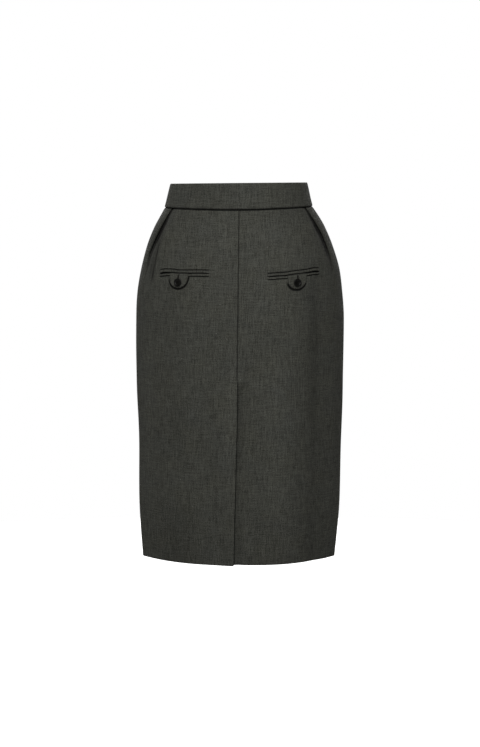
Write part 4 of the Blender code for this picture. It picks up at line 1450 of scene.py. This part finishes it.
def buttonSeat(side):
    one, below = pockets[side], button["belowMouth"][side]
    reach = button["thickness"] / 2
    fall = float(tabOut(below - reach) - tabOut(below + reach))
    out = float(tabOut(below)) + button["gap"] + reach
    drop = float(pocketDrop(side, "mouth", one.tab)) + below
    lean = Matrix.Rotation(math.pi / 2 + math.atan(fall / (2 * reach)), 4, "X")
    return seat(side * (one.tab - button["inwards"][side]), drop, out) @ lean


# Half of a button's outline, from the middle of its face over the rim to the middle beneath.
def buttonProfile():
    half, radius, edge, dish = (button["thickness"] / 2, button["radius"], button["edge"], button["dish"])
    slope, steps, edgeParts = button["dishSlope"], button["dishSteps"], button["edgeSteps"]
    flat = radius - button["rim"] - slope
    profile = [(0.0, half - dish - button["sunk"]), (flat, half - dish - button["sunk"])]
    for step in range(1, steps + 1):  # up the dish to the rim
        share = step / steps
        profile.append((flat + slope * share, half - dish + dish * float(eased(share))))
    for step in range(1, edgeParts + 1):  # over the rounded rim
        turn = math.pi / 2 * (1 - step / edgeParts)
        profile.append((radius - edge + edge * math.cos(turn), half - edge + edge * math.sin(turn)))
    for step in range(edgeParts + 1):  # and under it
        turn = -math.pi / 2 * step / edgeParts
        profile.append((radius - edge + edge * math.cos(turn), -half + edge + edge * math.sin(turn)))
    return [*profile, (radius * button["foot"], -half), (0.0, -half)]


# A profile turned about its axis.
def turned(name, profile, steps, material):
    points, faces = [(0.0, 0.0, profile[0][1])], []
    for along, height in profile[1:-1]:
        for step in range(steps):
            turn = 2 * math.pi * step / steps
            points.append((along * math.cos(turn), along * math.sin(turn), height))
    points.append((0.0, 0.0, profile[-1][1]))
    for step in range(steps):
        following = (step + 1) % steps
        faces.append((0, 1 + step, 1 + following))
        for level in range(len(profile) - 3):
            near, far = 1 + level * steps, 1 + (level + 1) * steps
            faces.append((near + step, far + step, far + following, near + following))
        last = 1 + (len(profile) - 3) * steps
        faces.append((last + step, len(points) - 1, last + following))
    return addObject(newMesh(name, points, faces, material))


# Pegs that cut the four holes, a little wider at the face.
def buttonPegs():
    pegs = bmesh.new()
    for number in range(4):
        turn = math.pi / 4 + number * math.pi / 2
        place = Vector((math.cos(turn), math.sin(turn), 0)) * button["holePitch"] / math.sqrt(2)
        bmesh.ops.create_cone(
            pegs, cap_ends=True, segments=button["holeSteps"], radius1=button["hole"],
            radius2=button["hole"] * button["holeFlare"], depth=1.5 * button["thickness"],
            matrix=Matrix.Translation(place),
        )
    mesh = bpy.data.meshes.new("button_pegs")
    pegs.to_mesh(mesh)
    pegs.free()
    return addObject(mesh)


def makeButton(side):
    piece = turned(f"button_{sideName[side]}_turned", buttonProfile(), button["steps"], resin)
    pegs = buttonPegs()
    cut = piece.modifiers.new("holes", "BOOLEAN")
    cut.object = pegs
    cut.solver = "EXACT"
    depsgraph = bpy.context.evaluated_depsgraph_get()
    piece.data = bpy.data.meshes.new_from_object(piece.evaluated_get(depsgraph))
    piece.modifiers.clear()
    bpy.data.objects.remove(pegs)
    piece.data.transform(buttonSeat(side))
    piece.data.shade_smooth()
    piece.data.set_sharp_from_angle(angle=math.radians(button["sharpAngle"]))
    return dress(piece, f"button_{sideName[side]}")


# Thread through the holes as two bars, and the stem wound beneath the button.
def makeButtonThread(side):
    place = buttonSeat(side)
    half, pitch = button["thickness"] / 2, button["holePitch"] / 2
    top, foot = half - button["dish"], -half - button["gap"] - thread["tail"]
    steps = thread["loopSteps"]
    lines = []
    for row in (-1, 1):
        for strand in thread["strands"]:
            y = row * pitch + strand * thread["strandGap"]
            arc = [(-pitch, y, foot), (-pitch, y, top - thread["into"])]
            for step in range(1, steps):
                lift = thread["loop"] * math.sin(math.pi * step / steps) ** thread["loopFullness"]
                lift += thread["spread"] * strand
                arc.append((mixed(-pitch, pitch, step / steps), y, top + lift))
            arc += [(pitch, y, top - thread["into"]), (pitch, y, foot)]
            lines.append(arc)
    stem = []
    radius, (under, above) = thread["stemRadius"], thread["stemEnds"]
    count = thread["stemTurns"] * thread["stemSteps"]
    for step in range(count + 1):
        turn = 2 * math.pi * step / thread["stemSteps"]
        height = mixed(-half - under, foot + above, step / count)
        stem.append((radius * math.cos(turn), radius * math.sin(turn), height))
    lines = [[tuple(place @ Vector(point)) for point in line] for line in (*lines, stem)]
    name = f"button_thread_{sideName[side]}"
    piece = tubes(name, lines, thread["thick"], thread["sides"], threadMaterial)
    return follow(piece)


# A place on a tab's face: sideways towards the side seam, below the mouth, above the face.
def onTab(side, sideways, below, lift):
    sideways, below = np.asarray(sideways, float), np.asarray(below, float)
    along = tabMiddle(side, below) + sideways
    drop = pocketDrop(side, "mouth", along) + skirt["seamGap"] + below
    return onCloth(side * along, drop, tabOut(below) + lift)


# Dense stitches across each lip of the slit, round its upper end, with a cord's bulge beneath.
def makeButtonhole(side):
    middle = button["belowMouth"][side]
    high, low = middle - buttonhole["above"], middle + buttonhole["below"]
    wide, steps = buttonhole["halfWidth"], buttonhole["stitchSteps"]
    reach = mixed(buttonhole["slit"], wide, np.linspace(0, 1, steps))
    bulge = np.sin(math.pi * np.linspace(*buttonhole["bulgeSpan"], steps))
    lift = buttonhole["stitchLow"] + buttonhole["stitchBulge"] * bulge
    jitter, stitchChange, lipChange = buttonhole["jitter"]
    count = int((low - high) / buttonhole["pitch"])
    lines = []
    for lip in (-1, 1):
        for number in range(count):
            below = high + wide + (low - high - wide) * number / count
            below += jitter * math.sin(stitchChange * number + lipChange * lip)
            lines.append(onTab(side, lip * reach, np.full(steps, below), lift))
    for number in range(buttonhole["endStitches"] + 1):
        turn = math.pi * number / buttonhole["endStitches"]
        lines.append(onTab(side, reach * math.cos(turn), high + wide - reach * math.sin(turn), lift))
    name = f"buttonhole_{sideName[side]}"
    piece = tubes(name, lines, thread["thick"], buttonhole["stitchSides"], threadMaterial)
    return follow(piece)


buttons = {side: makeButton(side) for side in (left, right)}
buttonThreads = {side: makeButtonThread(side) for side in (left, right)}
buttonholes = {side: makeButtonhole(side) for side in (left, right)}
print("buttons sewn on")


zipSet = {
    "tapeTop": 0.0165,
    "tapeEnd": 0.215,
    "tapeWidth": 0.024,
    "tapeCloth": 0.0007,
    "tapePitch": 0.00045,  # of its weave
    "tapeHeight": 0.0001,
    "tapeRows": 100,
    "tapeColumns": 25,
    "tapeEdge": (0.00015, 0.0012),  # a fine cord woven into both edges: its height and width
    "tapeInset": 0.0003,
    "clearance": 0.0009,
    "coilPitch": 0.0014,
    "coilReach": 0.0021,
    "coilSides": (0.42, 0.58),  # where a coil's middle lies, and its swing, beside its reach
    "coilDeep": 0.0012,
    "coilGap": 0.0006,
    "coilStep": 10,  # points in each turn
    "coilOffset": 0.25,  # of a turn, between the two coils
    "coilFrom": 0.0065,  # below the slider's middle
    "coilEnd": 0.205,
    "wire": 0.00030,
    "wireSides": 6,
    "sliderDrop": 0.0095,
    "tapeColour": (0.0125, 0.0125, 0.0120),
    "tapeRoughness": (0.9, 0.72),
    "coilColour": (0.0100, 0.0100, 0.0100),
    "coilRoughness": (0.28, 0.42),
    "coilScale": (700, 700, 700),
    "darkShare": 0.6,  # of both colours, where they are darkest: on the tape a painted shade in the weave's hollows, on the coil tone that differs at random
    "metal": (0.120, 0.115, 0.105),
    "wornMetal": (0.310, 0.300, 0.280),
    "wornRange": (0.45, 0.75),
    "metalRoughness": (0.26, 0.44),
    "brushScale": (1800, 1800, 260),
    "brushHeight": 0.00002,
    "sharpAngle": 50,
}


def makeTapeCloth():
    material, tree, shader = newMaterial("zip tape", Sheen_Weight=0.1, Specular_IOR_Level=0.25)
    weave = placed(tree, plainWeave, Cloth=clothPlace(tree), Pitch=zipSet["tapePitch"])
    height = weave.outputs["Height"]
    # painted shade in the weave's hollows, where its height is low
    deep = darker(zipSet["tapeColour"], zipSet["darkShare"])
    colour = colourMix(tree, height, deep, zipSet["tapeColour"])
    roughness = ranged(tree, height, 0.0, 1.0, *zipSet["tapeRoughness"])
    feedNamed(tree, shader, {"Base Color": colour, "Roughness": roughness})
    addBump(tree, shader, height, zipSet["tapeHeight"])
    return material


def makeCoilNylon():
    material, tree, shader = newMaterial("zip coil nylon", Specular_IOR_Level=0.45)
    where = tree.nodes.new("ShaderNodeTexCoord").outputs["Object"]
    haze = noiseNode(tree, stretched(tree, where, zipSet["coilScale"]), 3.0)
    deep = darker(zipSet["coilColour"], zipSet["darkShare"])
    colour = colourMix(tree, haze, deep, zipSet["coilColour"])
    roughness = ranged(tree, haze, *noiseSpan, *zipSet["coilRoughness"])
    feedNamed(tree, shader, {"Base Color": colour, "Roughness": roughness})
    return material


def makeDarkMetal():
    material, tree, shader = newMaterial("dark metal", Metallic=1.0)
    where = tree.nodes.new("ShaderNodeTexCoord").outputs["Object"]
    brushed = noiseNode(tree, stretched(tree, where, zipSet["brushScale"]), 3.0)
    worn = ranged(tree, brushed, *zipSet["wornRange"], 0.0, 1.0)
    colour = colourMix(tree, worn, zipSet["metal"], zipSet["wornMetal"])
    roughness = ranged(tree, brushed, *noiseSpan, *zipSet["metalRoughness"])
    feedNamed(tree, shader, {"Base Color": colour, "Roughness": roughness})
    addBump(tree, shader, brushed, zipSet["brushHeight"])
    return material


tapeCloth = makeTapeCloth()
coilNylon = makeCoilNylon()
darkMetal = makeDarkMetal()


def tapeBack():
    return -(waistband["cloth"] / 2 + waistband["inset"] + zipSet["clearance"])


def makeTape():
    drops = np.linspace(zipSet["tapeTop"], zipSet["tapeEnd"], zipSet["tapeRows"])[:, None]
    across = zipSet["tapeWidth"] * np.linspace(-0.5, 0.5, zipSet["tapeColumns"])[None, :]
    along = sideSeam(left, drops) + across
    high, wide = zipSet["tapeEdge"]
    edges = np.maximum(1 - (zipSet["tapeWidth"] / 2 - np.abs(across)) / wide, 0)
    points = onCloth(-along, drops, tapeBack() - zipSet["tapeInset"] + high * edges)
    points, grain = rightward(left, points, grainOf(-across, drops))
    piece = clothShell("zip_tape_cloth", points, zipSet["tapeCloth"], grain, tapeCloth)
    return dress(piece, "zip_tape")


# One coil from each tape, meeting in the middle on the inside of the tapes.
def makeCoil():
    lines = []
    pitch, stepsRound = zipSet["coilPitch"], zipSet["coilStep"]
    start, end = zipSet["sliderDrop"] + zipSet["coilFrom"], zipSet["coilEnd"]
    steps = np.arange(int((end - start) / pitch) * stepsRound + 1)
    angle = 2 * math.pi * steps / stepsRound
    middle, swing = zipSet["coilSides"]
    deep = zipSet["coilDeep"] * (0.5 + 0.5 * np.sin(angle))
    for hand, later in ((-1, 0.0), (1, zipSet["coilOffset"])):
        drop = start + pitch * (steps / stepsRound + later)
        aside = hand * zipSet["coilReach"] * (middle - swing * np.cos(angle))
        out = tapeBack() - zipSet["tapeCloth"] - zipSet["coilGap"] - deep
        lines.append(onCloth(-sideSeam(left, drop) - aside, drop, out))
    piece = tubes("zip_coil", lines, zipSet["wire"], zipSet["wireSides"], coilNylon)
    return follow(piece)


plateBevel = {"segments": 3, "sharpAngle": 35}


# A flat outline of (x, z) points made into a plate with bevelled edges, facing -Y.
def plate(bm, outline, back, front, bevel):
    made = bmesh.new()
    first = [made.verts.new((x, back, z)) for x, z in outline]
    second = [made.verts.new((x, front, z)) for x, z in outline]
    made.faces.new(first)
    made.faces.new(second[::-1])
    for corner in range(len(outline)):
        following = (corner + 1) % len(outline)
        made.faces.new((first[following], first[corner], second[corner], second[following]))
    bmesh.ops.recalc_face_normals(made, faces=made.faces)
    sharpAngle = math.radians(plateBevel["sharpAngle"])
    sharp = [edge for edge in made.edges if edge.calc_face_angle(0) > sharpAngle]
    bmesh.ops.bevel(
        made, geom=sharp, offset=bevel, segments=plateBevel["segments"], profile=0.5,
        affect="EDGES", clamp_overlap=True,
    )
    temporary = bpy.data.meshes.new("plate")
    made.to_mesh(temporary)
    made.free()
    bm.from_mesh(temporary)
    bpy.data.meshes.remove(temporary)


def zipSeat():
    drop = zipSet["sliderDrop"]
    return seat(-float(sideSeam(left, drop)), drop, 0.0)


def metalPiece(node, bm, place, body):
    mesh = bpy.data.meshes.new(f"{node}_metal")
    bm.to_mesh(mesh)
    bm.free()
    mesh.transform(place)
    mesh.shade_smooth()
    mesh.set_sharp_from_angle(angle=math.radians(zipSet["sharpAngle"]))
    mesh.materials.append(darkMetal)
    return dress(addObject(mesh), node, body)


slider = {
    "wide": 0.0070,
    "tall": 0.0100,
    "inside": 0.0021,  # the inner face of the body, from the middle of the band
    "wing": 0.0007,
    "body": 0.0022,
    "bevel": 0.0002,
    "wallInset": 0.0002,
    "wallBevel": 0.0001,
    "neckWide": 0.0011,
    "neckTall": 0.0048,
    "neckInto": (0.0002, 0.0004),  # the crown and the body
    "crownOut": 0.0019,  # the hinge's line
    "crown": (0.0018, 0.0022, 0.0064),
    "crownBevel": 0.0005,
}
# outlines as shares of half the width and height: broad shoulders above, narrow below
bodyShape = (
    (-0.62, -1.0), (0.62, -1.0), (0.80, -0.55), (1.0, 0.30), (0.93, 0.80), (0.60, 1.0), (0.18, 0.86),
    (-0.18, 0.86), (-0.60, 1.0), (-0.93, 0.80), (-1.0, 0.30), (-0.80, -0.55),
)
wallShape = ((0.66, -0.92), (0.84, -0.50), (0.97, 0.25), (0.86, 0.35), (0.70, -0.30))
neckShape = ((-1, -1), (1, -1), (1, 1), (-1, 1))
crownShape = (
    (-1, -0.72), (-0.6, -1), (0.6, -1), (1, -0.72), (1, 0.72), (0.6, 1), (-0.6, 1), (-1, 0.72),
)


def sized(shape, wide, tall):
    return [(wide * x, tall * z) for x, z in shape]


def makeSlider():
    bm = bmesh.new()
    wide, tall = slider["wide"] / 2, slider["tall"] / 2
    near, out = slider["inside"], slider["crownOut"]
    far = near + slider["body"]
    body = sized(bodyShape, wide, tall)
    plate(bm, body, near, near + slider["wing"], slider["bevel"])
    plate(bm, body, far - slider["wing"], far, slider["bevel"])
    inset = slider["wallInset"]
    for hand in (-1, 1):
        plate(bm, sized(wallShape, hand * wide, tall), near + inset, far - inset, slider["wallBevel"])
    neck = sized(neckShape, slider["neckWide"] / 2, slider["neckTall"] / 2)
    intoCrown, intoBody = slider["neckInto"]
    plate(bm, neck, -out - intoCrown, near + intoBody, slider["bevel"])
    # the crown is a small bridge, rounded at both ends
    crownWide, crownHigh, crownTall = (value / 2 for value in slider["crown"])
    crown = sized(crownShape, crownWide, crownTall)
    plate(bm, crown, -out + crownHigh, -out - crownHigh, slider["crownBevel"])
    return metalPiece("zip_slider", bm, zipSeat(), "skirt")


pull = {
    "length": 0.0240,
    "wide": 0.0060,
    "root": 0.0044,
    "thick": 0.0012,
    "clearance": 0.0040,
    "neck": 0.0050,
    "earTop": 0.0008,
    "earGap": 0.0003,
    "earCorners": (0.0002, 0.0003, 0.0004),  # how far the ears' corners are cut, inside to outside
    "relief": 0.0002,
    "bevel": 0.00025,
    "tipSteps": 12,
    "rim": 0.0003,  # a raised rim follows the edge on both faces
    "rimInset": 0.00035,
    "rimDrop": 0.0002,
    "rimSides": 8,
}


# The round end, from its widest place to the lowest one.
def pullTip(radius):
    low = pull["wide"] / 2 - pull["length"]
    angles = [math.pi / 2 * step / pull["tipSteps"] for step in range(pull["tipSteps"] + 1)]
    return [(radius * math.cos(angle), low - radius * math.sin(angle)) for angle in angles]


# A closed wire round a face of the pull.
def addRim(bm, shape, y):
    ring = [Vector((x, y, z)) for x, z in shape]
    count, sides = len(ring), pull["rimSides"]
    made = []
    for number, place in enumerate(ring):
        heading = (ring[(number + 1) % count] - ring[number - 1]).normalized()
        aside = heading.cross(Vector((0, 1, 0)))
        for corner in range(sides):
            turn = 2 * math.pi * corner / sides
            off = aside * math.cos(turn) + Vector((0, math.sin(turn), 0))
            made.append(bm.verts.new(place + pull["rim"] * off))
    for step in range(count):
        for corners in ringFaces(step * sides, (step + 1) % count * sides, sides):
            bm.faces.new([made[number] for number in corners])


def makePull():
    bm = bmesh.new()
    earIn = slider["crown"][0] / 2 + pull["earGap"]
    root, wide, top, half = pull["root"] / 2, pull["wide"] / 2, pull["earTop"], pull["thick"] / 2
    inner, middle, outer = pull["earCorners"]
    side = [(earIn, top - middle), (earIn + inner, top), (root - middle, top)]
    side += [(root, top - outer), (root, -pull["neck"]), *pullTip(wide)]
    outline = side + [(-x, z) for x, z in side[-2::-1]]
    outline += [(-earIn, -pull["clearance"]), (earIn, -pull["clearance"])]
    face = half - pull["relief"]
    plate(bm, outline, face, -face, pull["bevel"])
    shape = [(root - pull["rim"], pull["rimDrop"] - pull["neck"]), *pullTip(wide - pull["rimInset"])]
    shape += [(-x, z) for x, z in shape[-2::-1]]
    for y in (-face, face):
        addRim(bm, shape, y)
    bmesh.ops.recalc_face_normals(bm, faces=bm.faces)
    hinge = Matrix.Translation((0.0, -slider["crownOut"], 0.0))
    return metalPiece("zip_pull", bm, zipSeat() @ hinge, "zip_pull")


zipTape = makeTape()
makeCoil()
makeSlider()
makePull()
print("zip set in")


# each piece's cut: its widest and longest, how it is held and what it rests on
cuts = (
    (backPanels[left], (0.280, 0.676), "hung", ["waistband_back"]),
    (backPanels[right], (0.328, 0.676), "hung", ["waistband_back"]),
    (frontCloth, (0.439, 0.676), "hung", ["waistband_front"]),
    (waistbands["back"], (0.436, 0.0475), "hung", ["back_panel_left", "back_panel_right"]),
    (waistbands["front"], (0.332, 0.0475), "hung", ["front_panel"]),
    (zipTape, (0.024, 0.1985), "laid", ["back_panel_left"]),
)


def oneFace(piece):
    mesh = piece.data
    areas = np.empty(len(mesh.polygons))
    mesh.polygons.foreach_get("area", areas)
    return float(areas.sum()) / 2


for piece, size, held, under in cuts:
    area = min(oneFace(piece), size[0] * size[1])
for side in (left, right):
    for piece in welts[side]:
        oneFace(piece)


studio = {
    "floorHeight": -1.060,
    "floorRadius": 2.6,
    "floor": (0.60, 0.60, 0.59),
    "fleckShare": 0.985,  # of that, in its darker flecks
    "floorGlow": 1.0,  # seen by the eye alone, so that the floor melts into the room
    "worldLight": 0.03,
    "cameraAt": (0.0006, -3.770, 0.0225),
    "sensor": 36.0,
    "viewHeight": 747,  # in pixels, as are the two below
    "focus": 1975,
    "horizonRise": 190,  # of the horizon above the middle of the view
}
white = (1.0, 1.0, 1.0)
lamp = namedtuple("lamp", "name at aim width height watts")
lamps = (
    lamp("key above the camera", (-0.15, -2.2, 1.5), (0.0, 0.0, 0.0), 0.9, 0.9, 47.4),
    lamp("front", (0.0, -4.2, 0.9), (0.0, 0.0, -0.20), 1.0, 1.0, 45),
    lamp("left edge", (-2.2, 1.2, 0.8), (0.0, 0.0, -0.20), 1.2, 2.0, 9),
    lamp("behind, left", (-1.1, 3.2, 1.5), (0.0, 0.0, -0.20), 1.4, 1.4, 52),
    lamp("behind, right", (1.3, 3.1, 0.8), (0.0, 0.0, -0.30), 1.4, 1.4, 46),
)


def seenByCamera(tree):
    return tree.nodes.new("ShaderNodeLightPath").outputs["Is Camera Ray"]


def makeFloor():
    material, tree, shader = newMaterial(
        "pale floor", Roughness=0.8, Specular_IOR_Level=0.2, Emission_Color=white
    )
    where = tree.nodes.new("ShaderNodeTexCoord").outputs["Object"]
    fleck = noiseNode(tree, where, 4.0)
    colour = colourMix(tree, fleck, darker(studio["floor"], studio["fleckShare"]), studio["floor"])
    glow = ranged(tree, seenByCamera(tree), 0.0, 1.0, 0.0, studio["floorGlow"])
    feedNamed(tree, shader, {"Base Color": colour, "Emission Strength": glow})
    bm = bmesh.new()
    bmesh.ops.create_circle(bm, cap_ends=True, segments=128, radius=studio["floorRadius"])
    mesh = bpy.data.meshes.new("floor")
    bm.to_mesh(mesh)
    bm.free()
    mesh.materials.append(material)
    floor = addObject(mesh)
    floor.location.z = studio["floorHeight"]


def makeWorld():
    world = bpy.data.worlds.new("white room")
    world.use_nodes = True
    bpy.context.scene.world = world
    tree = world.node_tree
    strength = ranged(tree, seenByCamera(tree), 0.0, 1.0, studio["worldLight"], 1.0)
    feedNamed(tree, tree.nodes["Background"], {"Color": white, "Strength": strength})


def makeLamps():
    for one in lamps:
        light = bpy.data.lights.new(one.name, "AREA")
        light.shape = "RECTANGLE"
        light.size, light.size_y, light.energy = one.width, one.height, one.watts
        holder = addObject(light)
        holder.location = one.at
        heading = Vector(one.aim) - Vector(one.at)
        holder.rotation_euler = heading.to_track_quat("-Z", "Y").to_euler()


def makeCamera():
    camera = bpy.data.cameras.new("camera")
    camera.sensor_fit = "VERTICAL"
    camera.sensor_height = studio["sensor"]
    camera.lens = studio["sensor"] * studio["focus"] / studio["viewHeight"]
    holder = addObject(camera)
    holder.location = studio["cameraAt"]
    tilt = math.atan(studio["horizonRise"] / studio["focus"])
    holder.rotation_euler = (math.pi / 2 - tilt, 0.0, 0.0)
    bpy.context.scene.camera = holder


makeFloor()
makeWorld()
makeLamps()
makeCamera()
bpy.context.scene.view_settings.view_transform = "Standard"
print("studio set")
